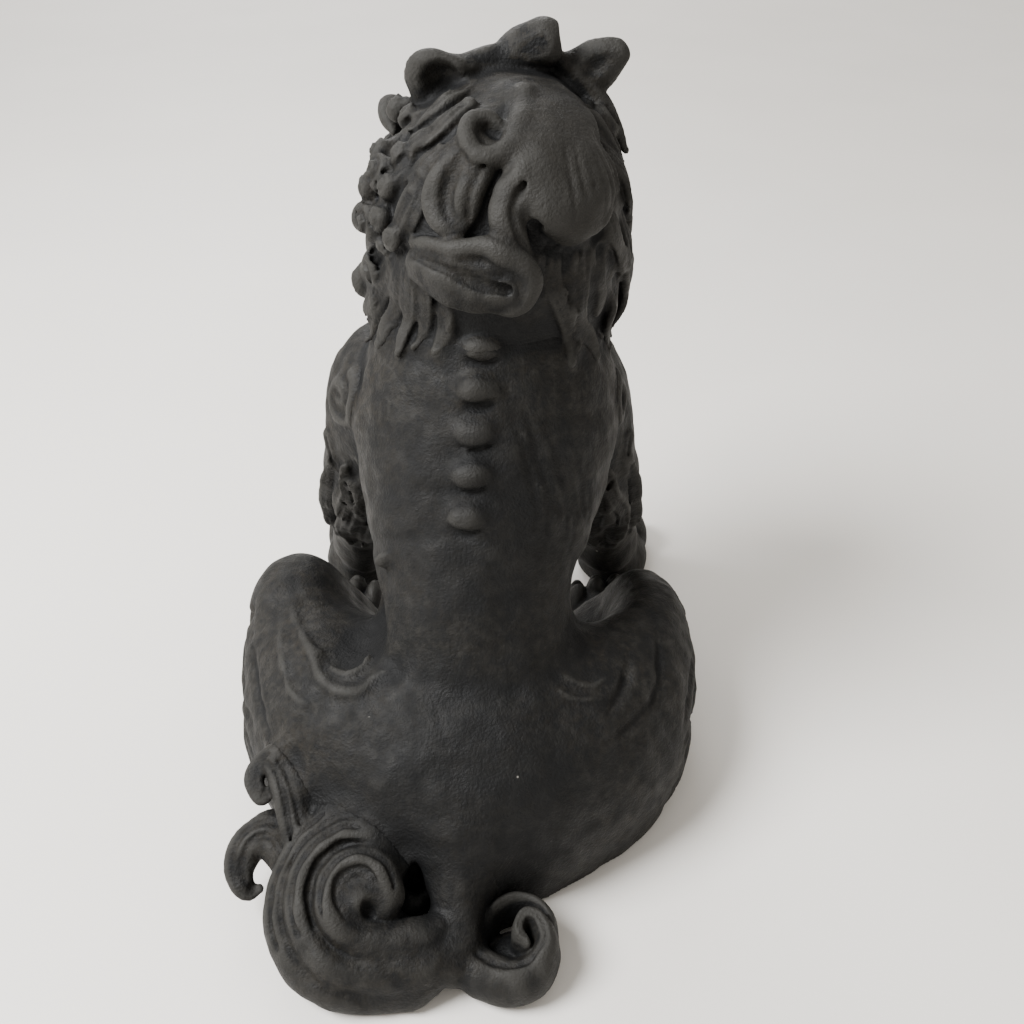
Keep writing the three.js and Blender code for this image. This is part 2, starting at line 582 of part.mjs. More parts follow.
const turned = (way) => vec(...way).normalize().applyEuler(faceTurn);

function leaningPath(seat, { lean }, shares, long) {
  return shares.map((share) => seat.clone().addScaledVector(turned(lean), long * share));
}

function crownSeat({ over }) {
  const way = turned(over);
  const skull = leaving(skullCentre, way, skullCentre, skullSize, radians(HEAD_TURN));
  const mane = leaving(skullCentre, way, maneCentre, maneSize, 0);
  return { seat: skullCentre.clone().addScaledVector(way, Math.max(skull, mane)), way };
}

function tenon(piece, grow) {
  const { seat, way } = crownSeat(piece);
  const foot = seat.clone().addScaledVector(way, -TENON_LONG - grow);
  return bar(foot, seat.clone().addScaledVector(way, TENON_RADIUS), TENON_RADIUS + grow);
}

function earForm(piece, grow) {
  const { seat } = crownSeat(piece);
  const path = leaningPath(seat, piece, [-0.35, 0.3, 0.7, 1], EAR.long);
  const half = profile(piece.wide * 0.7, piece.wide * 0.9, piece.wide * 0.75, piece.wide * 0.3);
  return sweep(path, half, () => EAR.thick, () => turned(piece.faces), { sides: 8, blunt: 0.8, grow });
}

function hornForm(piece, grow) {
  const { seat } = crownSeat(piece);
  const path = leaningPath(seat, piece, [-0.5, 0.35, 1], HORN.long);
  const half = profile(piece.wide, piece.wide * 0.85, piece.wide * 0.7);
  const thick = profile(HORN.thick, HORN.thick * 0.8, HORN.thick * 0.5);
  return sweep(path, half, thick, () => turned(piece.faces), { sides: 8, blunt: 0.5, grow });
}

const crownForm = (piece, grow) => (piece.name === "horn" ? hornForm(piece, grow) : earForm(piece, grow));
const crownPiece = (piece) => join(crownForm(piece, 0).subtract(headOutside(GAP)), tenon(piece, 0));

const headOutside = (grow) => join(maneForm(grow), skullForm(grow));

function headCasting() {
  const locks = [...CURLS.map(curlForm), ...STRANDS.map(strandForm)];
  const spigotFoot = vec(NECK.x, NECK.y, NECK_SEAT_Z - NECK_PLATE + GAP);
  const spigot = bar(spigotFoot, vec(NECK.x, NECK.y, NECK_SEAT_Z + WALL), SPIGOT_RADIUS, 14);
  const cavity = ellipsoid(inFace(HEAD_CAVITY.at), vec(...HEAD_CAVITY.size), 8, faceTurn);
  const vent = bar(spigotFoot, vec(NECK.x, NECK.y, maneCentre.z), STUD_RADIUS + GAP);
  const dressing = join(faceForm(), capeForm(), ...locks);
  const crowns = CROWN_PIECES.map((piece) => crownForm(piece, GAP));
  const sockets = CROWN_PIECES.map((piece) => tenon(piece, GAP));
  const outside = join(headOutside(0), dressing.subtract(join(crowns))).subtract(bodyClear);
  return join(outside, spigot).subtract(join(cavity, studBar(fixingOf("neck"), GAP), vent, ...sockets));
}

// Tail: stem, plume and hooked locks in one casting, the scroll in another, pinned together

const tailRoot = vec(TAIL_ROOT.x, RUMP.y + RUMP.deep - TAIL_ROOT.sink, TAIL_ROOT.z);
const fromTail = (x, y, z) => vec(tailRoot.x + x, tailRoot.y + y, z);

const plumeTilt = new THREE.Euler(-radians(PLUME.tilt), 0, 0);

// A place on the leaning disc of the plume: left and up of its eye as seen from behind, and lifted off it
function onPlume(left, up, lift) {
  return vec(left, -up, lift).applyEuler(plumeTilt).add(fromTail(PLUME.x, PLUME.y, PLUME.z));
}

const offPlume = () => onPlume(0, 0, 1).sub(onPlume(0, 0, 0));

function plumeForm(grow) {
  const stemPath = TAIL_STEM.path.map((p) => fromTail(...p));
  const stemHalf = profile(TAIL_STEM.radius * 1.2, TAIL_STEM.radius, TAIL_STEM.radius * 0.9);
  const stem = sweep(stemPath, stemHalf, stemHalf, upright, { sides: 10, steps: 4, grow });
  const [rootX, rootY] = PLUME.root;
  const strands = PLUME_STRANDS.map(({ radius, lift, wide }) => {
    const eye = radius * PLUME.eye;
    const offsets = whorl(rootX - PLUME.x, PLUME.y - rootY, radius, eye, PLUME.turns, 1, 9).slice(1);
    const path = [stemPath[2], ...offsets.map((o) => onPlume(o.x, o.y, lift))];
    const half = profile(wide, wide, wide, wide * 0.6);
    const deep = profile(PLUME.deep * 0.7, PLUME.deep, PLUME.deep, PLUME.deep * 0.6);
    return sweep(path, half, deep, offPlume, { sides: 6, steps: 9, caps: 1, grow });
  });
  const hooks = HOOKS.map(({ path, wide }) => {
    const points = path.map((p) => fromTail(...p));
    const half = profile(wide, wide, wide * 0.85, wide * 0.4);
    return sweep(points, half, (share) => half(share) * 0.8, offPlume, { sides: 6, steps: 7, grow });
  });
  const baseSize = vec(PLUME.base + grow, PLUME.base + grow, PLUME.deep + grow);
  const base = ellipsoid(onPlume(0, 0, -PLUME.deep * 0.6), baseSize, 10, plumeTilt);
  return join(stem, base, ...strands, ...hooks);
}

function scrollForm() {
  const [rootX, rootY] = SCROLL.root;
  const offsets = whorl(rootX - SCROLL.x, rootY - SCROLL.y, SCROLL.radius, SCROLL.eye, SCROLL.turns, 1, 10);
  const path = offsets.map((o) => fromTail(SCROLL.x + o.x, SCROLL.y + o.y, SCROLL.tall * 0.4));
  const wide = profile(SCROLL.wide * 1.2, SCROLL.wide, SCROLL.wide, SCROLL.wide * 0.7);
  const ribbon = sweep(path, wide, () => SCROLL.tall, upright, { sides: 8, steps: 12 });
  const backPath = Array.from({ length: 6 }, (_, i) => {
    const angle = radians(SCROLL_BACK.from + ((SCROLL_BACK.to - SCROLL_BACK.from) * i) / 5);
    const x = SCROLL.x + SCROLL_BACK.radius * Math.cos(angle);
    return fromTail(x, SCROLL.y + SCROLL_BACK.radius * Math.sin(angle), SCROLL_BACK.tall * 0.4);
  });
  const backTall = () => SCROLL_BACK.tall * 0.6;
  const back = sweep(backPath, () => SCROLL_BACK.wide, backTall, upright, { sides: 8, steps: 6 });
  return join(ribbon, back);
}

function dowelBar(grow) {
  const half = vec(...DOWEL.way).setLength(DOWEL.long / 2 + grow);
  const middle = fromTail(...DOWEL.at);
  return bar(middle.clone().sub(half), middle.clone().add(half), DOWEL.radius + grow);
}

function tailPlume() {
  return flatFooted(plumeForm(0)).subtract(join(bodyClear, studBar(fixingOf("tail"), GAP), dowelBar(GAP)));
}

function tailScroll() {
  return flatFooted(scrollForm()).subtract(join(bodyClear, plumeForm(GAP), dowelBar(GAP)));
}

// The whole figure, stood with the middle of its box on the origin

const lion = new THREE.Group();
lion.add(
  node("body_casting", bodyCasting(), iron),
  node("head_casting", headCasting(), iron),
  ...CROWN_PIECES.map((piece) => node(piece.name, crownPiece(piece), iron)),
  node("left_foreleg", foreleg(LEFT), iron),
  node("right_foreleg", foreleg(RIGHT), iron),
  node("left_hind_paw", hindPaw(LEFT), iron),
  node("right_hind_paw", hindPaw(RIGHT), iron),
  node("tail_plume", tailPlume(), iron),
  node("tail_scroll", tailScroll(), iron),
  node("tail_scroll_dowel", dowelBar(0), steel),
  ...fixings.flatMap(fixingNodes),
);
const box = new THREE.Box3().setFromObject(lion);
const middle = box.getCenter(vec());
lion.position.set(-middle.x, -middle.y, -box.min.z);

const figure = new THREE.Group();
figure.add(lion);

export default figure;
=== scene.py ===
"""Looks of the iron guardian lion: castings sculpted as distance fields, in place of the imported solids."""
from math import cos, pi, radians, sin, sqrt
from types import SimpleNamespace

import bpy
import numpy as np
import openvdb
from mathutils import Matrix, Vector


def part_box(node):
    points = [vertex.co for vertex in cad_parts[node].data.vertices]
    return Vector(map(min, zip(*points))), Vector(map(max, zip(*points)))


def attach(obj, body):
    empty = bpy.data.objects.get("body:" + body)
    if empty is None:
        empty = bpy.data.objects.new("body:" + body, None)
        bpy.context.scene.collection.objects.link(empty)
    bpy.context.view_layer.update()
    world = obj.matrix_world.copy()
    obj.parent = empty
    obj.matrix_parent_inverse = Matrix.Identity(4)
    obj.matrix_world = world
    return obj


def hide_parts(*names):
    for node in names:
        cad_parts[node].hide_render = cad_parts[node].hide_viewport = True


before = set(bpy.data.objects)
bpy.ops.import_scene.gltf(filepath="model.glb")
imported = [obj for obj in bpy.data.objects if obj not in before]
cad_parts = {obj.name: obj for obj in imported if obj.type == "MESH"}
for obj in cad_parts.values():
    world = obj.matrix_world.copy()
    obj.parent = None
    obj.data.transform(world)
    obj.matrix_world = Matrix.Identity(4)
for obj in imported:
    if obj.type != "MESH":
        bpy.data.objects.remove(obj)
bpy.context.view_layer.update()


def form(at, **sizes):
    """A place or path with the sizes of what lies there; soft is how softly it blends."""
    return SimpleNamespace(at=np.array(at, float), **sizes)


# Sizes are millimetres in the lion's own frame: it faces -Y and +X is its own left
MM = 0.001
LEFT = 1
RIGHT = -1
WALL = 6.0
THINNEST = 3.0
OVERLAP = 0.8
BORE_PLAY = 0.3
BORE_RUN = 1.0

# Trunk sections from the pelvis up: centre, then half width and half depth
NECK_SEAT_Z = 170.0
NECK_PLATE = 9.0
PELVIS = form((1, 32, 10), wide=46, deep=48)
WAIST = form((1, 19, 82), wide=33, deep=34)
CHEST = form((-3, -13, 126), wide=45, deep=42)
NECK = form((-6, -24, 175), wide=28, deep=30)

# Rump and thighs, set over towards the lion's left
HAUNCH_SHIFT = 4.0
RUMP = form((HAUNCH_SHIFT / 2, 40, 18), half=(55, 47, 54), soft=12)
HIP = form((36, 35, 16), wide=41, tall=52)
KNEE = form((56, -4, 18), wide=27, tall=46)
KNEE_LEAN = 0.35
THIGH_SOFT = 9
SEAT_RADIUS = 9.0
SEAT_LONG = 30.0
SEAT_SOFT = 0.5

# Forelegs and paws, for the left side
SHOULDER = form((37, -36, 122), wide=27, deep=18)
ELBOW = form((46, -47, 84), wide=19, deep=15)
WRIST = form((54, -78, 30), wide=14, deep=13)
FOREPAW = form((60, -95, 5), wide=16, long=20, tall=20)
HINDPAW = form((58, -40, 5.5), wide=17, long=24, tall=22)
TOES = 4

# Head: mane, cape and skull, with the face turned to the lion's left
MANE = form((-9, -24, 191), half=(38, 39, 43))
CAPE = form((-7, -33, 169), half=(40, 33, 25))
FACE_AT = np.array([-16.0, -32.0, 191.0])
FACE_TURN = 35.0
SKULL = form((0, -12, 5), half=(36, 38, 40))
SPIGOT_RADIUS = 13.0

# Tail: a stem that parts into a leaning whorl on the left and a scroll on the right
TAIL_STEM = [(3, 76, 36), (4, 89, 25), (5, 101, 16), (6, 115, 9)]
STEM_SIZES = [12, 10.4, 8.8, 7.6]
PLUME_EYE = np.array([34.0, 102.0, 22.0])
PLUME_TILT = radians(25)

# How softly the castings run into each other at their creases
LEG_BLEND = 3.0
NECK_BLEND = 4.0
TAIL_BLEND = 8.0
SCROLL_BLEND = 1.0
SMALL_BLEND = 1.5

# Camera of the photograph: focal length and width in pixels, place and tilt
FOCAL_PIXELS = 1027
PICTURE_PIXELS = 1024
SENSOR = 36.0
CAMERA_AT = (-12, 291, 310)
CAMERA_TILT = radians(36)

FAR = 1000.0
TINY = 1e-6
ADD = 1
CUT = -1
UP = np.array([0.0, 0.0, 1.0])
BACK = np.array([0.0, 1.0, 0.0])

stud_low, stud_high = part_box("neck_stud")
stud_middle = (stud_low + stud_high) / 2 / MM
SHIFT = np.array([stud_middle.x - NECK.at[0], stud_middle.y - NECK.at[1], 0.0])


def vec(v):
    return np.asarray(v, float)


def unit(v):
    return vec(v) / np.linalg.norm(v)


def dot(a, b):
    return a[0] * b[0] + a[1] * b[1] + a[2] * b[2]


def minus(place, start):
    return [a - b for a, b in zip(place, start)]


def smooth_min(a, b, soft):
    if soft <= 0:
        return np.minimum(a, b)
    near = np.maximum(soft - np.abs(a - b), 0) / soft
    return np.minimum(a, b) - near * near * (soft / 4)


def curve(points, steps):
    """Points along a smooth curve through the given ones, as many steps from each to the next."""
    p = vec(points)
    if p.ndim == 1:
        p = p[:, None]
    p = np.vstack([2 * p[0] - p[1], p, 2 * p[-1] - p[-2]])
    t = np.arange(steps)[:, None] / steps
    spans = []
    for a, b, c, d in zip(p, p[1:], p[2:], p[3:]):
        bend = a - 2.5 * b + 2 * c - d / 2
        twist = 1.5 * (b - c) + (d - a) / 2
        spans.append(b + t * (c - a) / 2 + t**2 * bend + t**3 * twist)
    return np.vstack(spans + [p[-2:-1]])


def profile(path, stops, values):
    """A value for each point of a path, by stops from 0 at its start to 1 at its end."""
    return np.interp(np.linspace(0, 1, len(path)), stops, values)


def swell(path, first, last):
    """Half sizes that rise to 1 halfway along a path and fall again; first and last keep its ends open."""
    return np.sin(np.linspace(first, pi - last, len(path)))


def spiral(start, turn, turns, far, near, count):
    """Flat offsets of a line that winds from far to near, from a start angle."""
    share = np.linspace(0, 1, count)
    angle = start + turn * share * turns * 2 * pi
    return np.stack([np.cos(angle), np.sin(angle)], axis=1) * (far + (near - far) * share)[:, None]


class Ball:
    """An ellipsoid, which may be turned about the upright."""

    def __init__(self, centre, half, turn=0.0):
        self.centre = vec(centre)
        self.half = np.ones(3) * half
        self.cos = cos(radians(turn))
        self.sin = sin(radians(turn))
        reach = self.half if turn == 0 else np.array([max(self.half[:2])] * 2 + [self.half[2]])
        self.low = self.centre - reach
        self.high = self.centre + reach

    def distance(self, place):
        x, y, z = minus(place, self.centre)
        p = (self.cos * x + self.sin * y) / self.half[0]
        q = (self.cos * y - self.sin * x) / self.half[1]
        r = z / self.half[2]
        k = np.sqrt(p * p + q * q + r * r) + TINY
        slope = np.sqrt((p / self.half[0]) ** 2 + (q / self.half[1]) ** 2 + (r / self.half[2]) ** 2) + TINY
        return k * (k - 1) / slope

    def leaves(self, start, way):
        """How far a ray runs before it leaves the ellipsoid, or 0 where it misses it."""
        turned = np.array([[self.cos, self.sin, 0], [-self.sin, self.cos, 0], [0, 0, 1]])
        start = turned @ (start - self.centre) / self.half
        step = turned @ way / self.half
        middle = start @ step / (step @ step)
        rest = middle * middle - (start @ start - 1) / (step @ step)
        return -middle + sqrt(rest) if rest > 0 else 0.0


class Bar:
    """A round bar with flat ends."""

    def __init__(self, start, end, radius):
        self.start = vec(start)
        self.along = unit(end - self.start)
        self.long = np.linalg.norm(end - self.start)
        self.radius = radius
        self.low = np.minimum(start, end) - radius
        self.high = np.maximum(start, end) + radius

    def distance(self, place):
        place = minus(place, self.start)
        s = dot(self.along, place)
        side = np.sqrt(np.maximum(dot(place, place) - s * s, 0)) - self.radius
        return np.maximum(side, np.abs(s - self.long / 2) - self.long / 2)


class Link:
    """One stretch of a tube, with its own half width, half depth and outward way at each end."""

    def __init__(self, a, b, wide, deep, out):
        self.a, self.wide, self.deep = a, wide, deep
        self.along = b - a
        self.length_squared = max(self.along @ self.along, TINY)
        self.ahead = unit(self.along) if self.along @ self.along > TINY**2 else UP
        self.out = unit(out - (out @ self.ahead) * self.ahead)
        self.across = np.cross(self.out, self.ahead)
        reach = max(*wide, *deep)
        self.low = np.minimum(a, b) - reach
        self.high = np.maximum(a, b) + reach

    def distance(self, place):
        place = minus(place, self.a)
        t = np.clip(dot(self.along, place) / self.length_squared, 0, 1)
        place = minus(place, [t * a for a in self.along])
        wide = self.wide[0] + t * (self.wide[1] - self.wide[0])
        length = np.sqrt(dot(place, place)) + TINY
        if self.wide == self.deep:
            return length - wide
        deep = self.deep[0] + t * (self.deep[1] - self.deep[0])
        p = dot(self.across, place) / wide
        q = dot(self.out, place) / deep
        s = dot(self.ahead, place) / np.minimum(wide, deep)
        return length * (1 - 1 / (np.sqrt(p * p + q * q + s * s) + TINY))


class Tube:
    """A closed form along a smooth curve; wide and deep are its half sizes, and deep lies along facing."""

    def __init__(self, points, wide, deep=None, facing=UP, steps=4):
        count = len(points)
        wide = np.ones(count) * wide
        deep = wide if deep is None else np.ones(count) * deep
        self.centres = curve(points, steps)
        self.wide = curve(wide, steps)[:, 0]
        self.deep = curve(deep, steps)[:, 0]
        self.outs = np.array([facing(c) if callable(facing) else vec(facing) for c in self.centres])
        self.links = []
        for i in range(len(self.centres) - 1):
            pair = slice(i, i + 2)
            out = self.outs[i] + self.outs[i + 1]
            sizes = tuple(self.wide[pair]), tuple(self.deep[pair])
            self.links.append(Link(self.centres[i], self.centres[i + 1], *sizes, out))
        self.low = np.min([link.low for link in self.links], axis=0)
        self.high = np.max([link.high for link in self.links], axis=0)

    def crest(self, share, start, end):
        """A line along the outside of the tube, share of the half width from its middle."""
        along = np.gradient(self.centres, axis=0)
        along /= np.linalg.norm(along, axis=1)[:, None] + TINY
        out = self.outs - (self.outs * along).sum(1)[:, None] * along
        out /= np.linalg.norm(out, axis=1)[:, None]
        across = np.cross(out, along)
        line = self.centres + across * (share * self.wide)[:, None]
        line = line + out * (sqrt(1 - share * share) * self.deep)[:, None]
        last = len(line) - 1
        return line[round(start * last):round(end * last) + 1]


class Clay:
    """A block of space on a grid, in which fields of distance are modelled."""

    # How far past its soft edge a form is worked out, and the rounds in which points settle
    REACH = 4
    ROUNDS = 6

    def __init__(self, low, high, step):
        self.low = vec(low)
        self.step = step
        self.count = np.ceil((vec(high) - self.low) / step).astype(int) + 1
        self.axes = [self.low[i] + step * np.arange(self.count[i]) for i in range(3)]
        shapes = ((-1, 1, 1), (1, -1, 1), (1, 1, -1))
        self.places = [axis.astype(np.float32).reshape(shape) for axis, shape in zip(self.axes, shapes)]

    def blank(self):
        return np.full(self.count, FAR, np.float32)

    def part(self, shape, reach):
        """The stretch of the grid that a form and its reach take up."""
        first = np.floor((shape.low - reach - self.low) / self.step).astype(int).clip(0, self.count)
        last = np.ceil((shape.high + reach - self.low) / self.step).astype(int).clip(-1, self.count - 1) + 1
        if np.any(first >= last):
            return None
        return tuple(slice(a, b) for a, b in zip(first, last))

    def at(self, part):
        x, y, z = self.places
        return x[part[0]], y[:, part[1]], z[:, :, part[2]]

    def measure(self, shape, part, reach):
        if not hasattr(shape, "links"):
            return shape.distance(self.at(part))
        best = np.full([p.stop - p.start for p in part], FAR, np.float32)
        for link in shape.links:
            inner = self.part(link, reach)
            if inner is None:
                continue
            local = tuple(slice(i.start - p.start, i.stop - p.start) for i, p in zip(inner, part))
            best[local] = np.minimum(best[local], link.distance(self.at(inner)))
        return best

    def press(self, field, shape, soft, way):
        """Adds a form to the field, or cuts it away, with a soft edge."""
        reach = soft + self.REACH
        part = self.part(shape, reach)
        if part is None:
            return
        distance = self.measure(shape, part, reach)
        field[part] = way * smooth_min(way * field[part], distance, soft)

    def model(self, steps):
        """A new field from steps: a shape, how softly it blends, and whether it is added or cut away."""
        field = self.blank()
        for shape, soft, way in steps:
            self.press(field, shape, soft, way)
        return field

    def sample(self, field, points):
        """The field's values at points, between its grid places."""
        place = ((vec(points) - self.low) / self.step).clip(0, self.count - 1.001)
        first = place.astype(int)
        share = place - first
        total = 0
        for corner in np.ndindex(2, 2, 2):
            corner = np.array(corner)
            weight = np.prod(np.where(corner, share, 1 - share), axis=1)
            total = total + weight * field[tuple((first + corner).T)]
        return total

    def slope(self, field, points):
        """The way in which the field grows fastest at points."""
        rises = [self.sample(field, points + way) - self.sample(field, points - way) for way in np.eye(3)]
        rise = np.stack(rises, axis=1)
        return rise / (np.linalg.norm(rise, axis=1)[:, None] + TINY)

    def settle(self, field, points):
        """The points moved onto the field's surface, along its own slope."""
        p = vec(points).copy()
        for _ in range(self.ROUNDS):
            p -= self.slope(field, p) * self.sample(field, p)[:, None]
        return p


# Large odd numbers that scramble a lattice place into a value
SCRAMBLE = (73856093, 19349663, 83492791)
SEED_SCRAMBLE = 6542989
LAST_SCRAMBLE = 1274126177
LOW_BITS = 0xFFFF


def lattice_noise(clay, size, seed):
    """Smooth noise about zero, fixed in the lion's frame; size is its grain along each axis in mm."""
    lattice_axes, weights = [], []
    for axis, grain in zip(clay.axes, size):
        place = axis / grain
        base = np.floor(place).astype(int)
        t = place - base
        taps = ((1 - t) ** 3, 3 * t**3 - 6 * t**2 + 4, -3 * t**3 + 3 * t**2 + 3 * t + 1, t**3)
        first = base[0] - 1
        table = np.zeros((len(axis), base[-1] + 3 - first), np.float32)
        for k, tap in enumerate(taps):
            table[np.arange(len(axis)), base - 1 - first + k] = tap / 6
        weights.append(table)
        lattice_axes.append(first + np.arange(table.shape[1]))
    mixed_up = seed * SEED_SCRAMBLE
    for lattice, factor in zip(np.meshgrid(*lattice_axes, indexing="ij"), SCRAMBLE):
        mixed_up = mixed_up ^ (lattice * factor)
    mixed_up = (mixed_up ^ (mixed_up >> 13)) * LAST_SCRAMBLE
    noise = (((mixed_up ^ (mixed_up >> 16)) & LOW_BITS) * 2 / LOW_BITS - 1).astype(np.float32)
    for axis, table in enumerate(weights):
        noise = np.moveaxis(np.tensordot(table, noise, axes=(1, axis)), 0, axis)
    return noise * 2


# Swells, lumps, dabs and streaks of the hand-modelled surface: grain, seed and height in mm
UNEVEN = [
    ((13, 13, 13), 1, 0.6),
    ((6, 6, 6), 2, 0.5),
    ((3.2, 3.2, 3.2), 4, 0.32),
    ((3.6, 3.6, 13), 3, 0.28),
]


def unevenness(clay):
    return sum(lattice_noise(clay, grain, seed) * height for grain, seed, height in UNEVEN)


# Plain forms of the trunk, haunches and legs, and a coarse study of them on which the locks are laid

def mirrored(point, side):
    return vec(point) * (side, 1, 1)


def lump(f, way=ADD):
    """The step that adds or cuts a ball described by a named form."""
    return Ball(f.at, f.half), f.soft, way


def trunk():
    sections = [PELVIS, PELVIS, WAIST, CHEST, NECK]
    points = [s.at for s in sections]
    points[0] = PELVIS.at - UP * PELVIS.deep
    return Tube(points, [s.wide for s in sections], [s.deep for s in sections], BACK)


def thigh(side):
    hip, knee = (mirrored(f.at, side) + (HAUNCH_SHIFT, 0, 0) for f in (HIP, KNEE))
    rear = hip + (-side * HIP.at[0] * 0.7, HIP.wide * 0.4, 0)
    middle = (hip + knee) / 2 + (side * 4, 0, 0)
    path = [rear, hip, middle, knee, knee - BACK * KNEE.wide * 0.3]
    pairs = (HIP.wide, KNEE.wide), (HIP.tall, KNEE.tall)
    wide, tall = ([a, a, (a + b) / 2, b, b * 0.9] for a, b in pairs)
    return Tube(path, wide, tall, (side * KNEE_LEAN, 0, 1))


def plain_body():
    thighs = [(thigh(side), THIGH_SOFT, ADD) for side in (LEFT, RIGHT)]
    return [(trunk(), 0, ADD), lump(RUMP)] + thighs


def plain_foreleg(side):
    shoulder, elbow, wrist, foot = (mirrored(f.at, side) for f in (SHOULDER, ELBOW, WRIST, FOREPAW))
    path = [shoulder + (-side * 4, 4, SHOULDER.wide * 0.5), shoulder, elbow, wrist, foot]
    wide = [SHOULDER.wide * 0.9, SHOULDER.wide, ELBOW.wide, WRIST.wide, WRIST.wide]
    deep = [SHOULDER.deep * 0.9, SHOULDER.deep, ELBOW.deep, WRIST.deep, WRIST.deep]
    return Tube(path, wide, deep, (side, 0, 0))


study = Clay(low=(-92, -124, -3), high=(94, 108, 252), step=2.5)
study_body = study.model(plain_body())
study_legs = {side: study.model([(plain_foreleg(side), 0, ADD)]) for side in (LEFT, RIGHT)}
study_flanks = {side: smooth_min(study_body, leg, LEG_BLEND) for side, leg in study_legs.items()}


def laid_on(surface, points, steps=4):
    """A smooth path laid onto a surface of the study."""
    return study.settle(surface, curve(points, steps))


# Locks of hair: half width and softness of the grooves combed along them
GROOVE = 0.9
GROOVE_SOFT = 0.9


def lock(path, wide, high, facing, grooves=(), soft=1.2, steps=5, start=0.06, end=0.94, comb=GROOVE):
    """Lays one lock along a path and combs grooves of a half width along its crest."""
    body = Tube(path, wide, high, facing, steps)
    yield body, soft, ADD
    for share in grooves:
        yield Tube(body.crest(share, start, end), comb, steps=1), GROOVE_SOFT, CUT


# Body casting

SPINE_TOP = (-3, 12, 168)
SPINE_LOW = (2, 34, 121)
SPINE_KNOBS = 5


def spine_knobs():
    places = np.linspace(SPINE_TOP, SPINE_LOW, SPINE_KNOBS)
    for place in study.settle(study_body, places):
        yield Ball(place + (0, -0.4, 0.6), (5.6, 3.6, 3.6)), 3.6, ADD
        under = place + (0, 2.2, -4.2)
        crease = [under + (-4.5, -1, 1.4), under, under + (4.5, -1, 1.4)]
        yield Tube(crease, [0.7, 1.4, 0.7]), 2.0, CUT


# Ridges and grooves of the coat on the haunches and back: path, half width and whether raised or cut
COAT_LINES = [
    ([(72, -8, 60), (66, 16, 64), (57, 35, 66), (49, 51, 66), (38, 55, 66), (31, 50, 67), (22, 50, 74)],
     1.9, ADD),
    ([(54, 36, 68), (49, 44, 68), (43, 48, 68), (37, 45, 67), (33, 36, 67)], 1.4, ADD),
    ([(70, 14, 61), (67, 36, 62), (61, 50, 60), (52, 58, 61)], 1.5, ADD),
    ([(78, 6, 52), (76, 26, 50), (70, 44, 46), (62, 58, 42)], 1.6, CUT),
    ([(-61, 12, 63), (-63, 30, 59), (-60, 44, 54), (-51, 58, 54), (-41, 67, 54)], 1.7, CUT),
    ([(-52, 33, 66), (-51, 45, 64), (-47, 54, 62), (-39, 64, 58)], 1.5, CUT),
    ([(-24, 47, 70), (-30, 51, 67), (-39, 52, 67), (-46, 45, 67)], 1.1, ADD),
    ([(-23, 53, 66), (-31, 57, 65), (-42, 56, 65)], 1.1, ADD),
]

# Dish between the left thigh and the trunk, and the notch between the right thigh and the trunk
DISH = form((44, 32, 76), half=(15, 17, 11), soft=5)
NOTCH = form((-39, -16, 58), half=(12, 27, 25), soft=14)

# Swell of the left knee with the nick in its outline, and the knob left of the spine
KNEE_BULGE = form((70, -8, 50), half=(17, 20, 18), soft=8)
NICK = form((89, 3, 52), half=(6.5, 4.5, 9), soft=3)
BACK_KNOB = form((28, 30, 101), half=(4.5, 2.4, 4), soft=3)


def coat_lines():
    yield lump(KNEE_BULGE)
    for dip in (DISH, NOTCH, NICK):
        yield lump(dip, CUT)
    for points, half, way in COAT_LINES:
        path = laid_on(study_body, points)
        taper = half * np.clip(profile(path, [0, 0.5, 1], [0, 1.5, 0]), 0.25, 1)
        yield Tube(path, taper, steps=1), half, way
    knob = study.settle(study_body, [BACK_KNOB.at])[0]
    yield Ball(knob, BACK_KNOB.half), BACK_KNOB.soft, ADD


# Locks of the mane that hang on the breast: share of the chest's half width from its middle, and length
BIB_LOCKS = [(0, 46), (0.32, 38), (0.62, 30)]
BIB_TOP = 164


def bib_locks():
    for across, long in BIB_LOCKS:
        for side in (LEFT, RIGHT) if across else (LEFT,):
            path = []
            for share in (0, 0.35, 0.7, 1):
                bend = side * (2 + across * 5) * sin(share * pi * 1.2)
                x = CHEST.at[0] + side * across * CHEST.wide * (0.7 + 0.2 * share) + bend
                path.append((x, -62 + 22 * across * across, BIB_TOP - long * share))
            laid = study.settle(study_body, path)
            yield from lock(laid, [6.5, 7, 5, 1.2], [4, 4.5, 3.5, 1], -BACK, (-0.45, 0.05, 0.5))


COMB_LINES = 9
COMB_STAND = 0.4
THIGH_LINES = 6


def combed_back():
    """Shallow lines of the coat that run down the right of the back and round the flank."""
    for i in range(COMB_LINES):
        share = i / (COMB_LINES - 1)
        x = CHEST.at[0] - 12 - 30 * share
        top = 160 - 22 * share
        sway = 3 * sin(i * 2.4)
        path = [(x + 4, 22, top), (x - sway, 24, top - 18), (x - 3, 26, top - 36), (x + sway, 30, top - 52)]
        laid = laid_on(study_body, path)
        yield Tube(laid + BACK * COMB_STAND, 1.1 * swell(laid, 0.15, 0.15), steps=1), 1.2, CUT


def combed_thighs():
    """Shallow grooves of the coat that fan over the outside of each thigh."""
    for side in (LEFT, RIGHT):
        for i in range(THIGH_LINES):
            sway = 3 * sin(1.9 * i + side)
            path = [(92, -14, 50), (90, 8, 48 + sway), (85, 28, 43 - sway), (72, 44, 38)]
            laid = laid_on(study_body, [mirrored(point, side) + (0, 3 * i, -8 * i) for point in path])
            yield Tube(laid, 1.7 * swell(laid, 0.1, 0.1), steps=1), 2.2, CUT


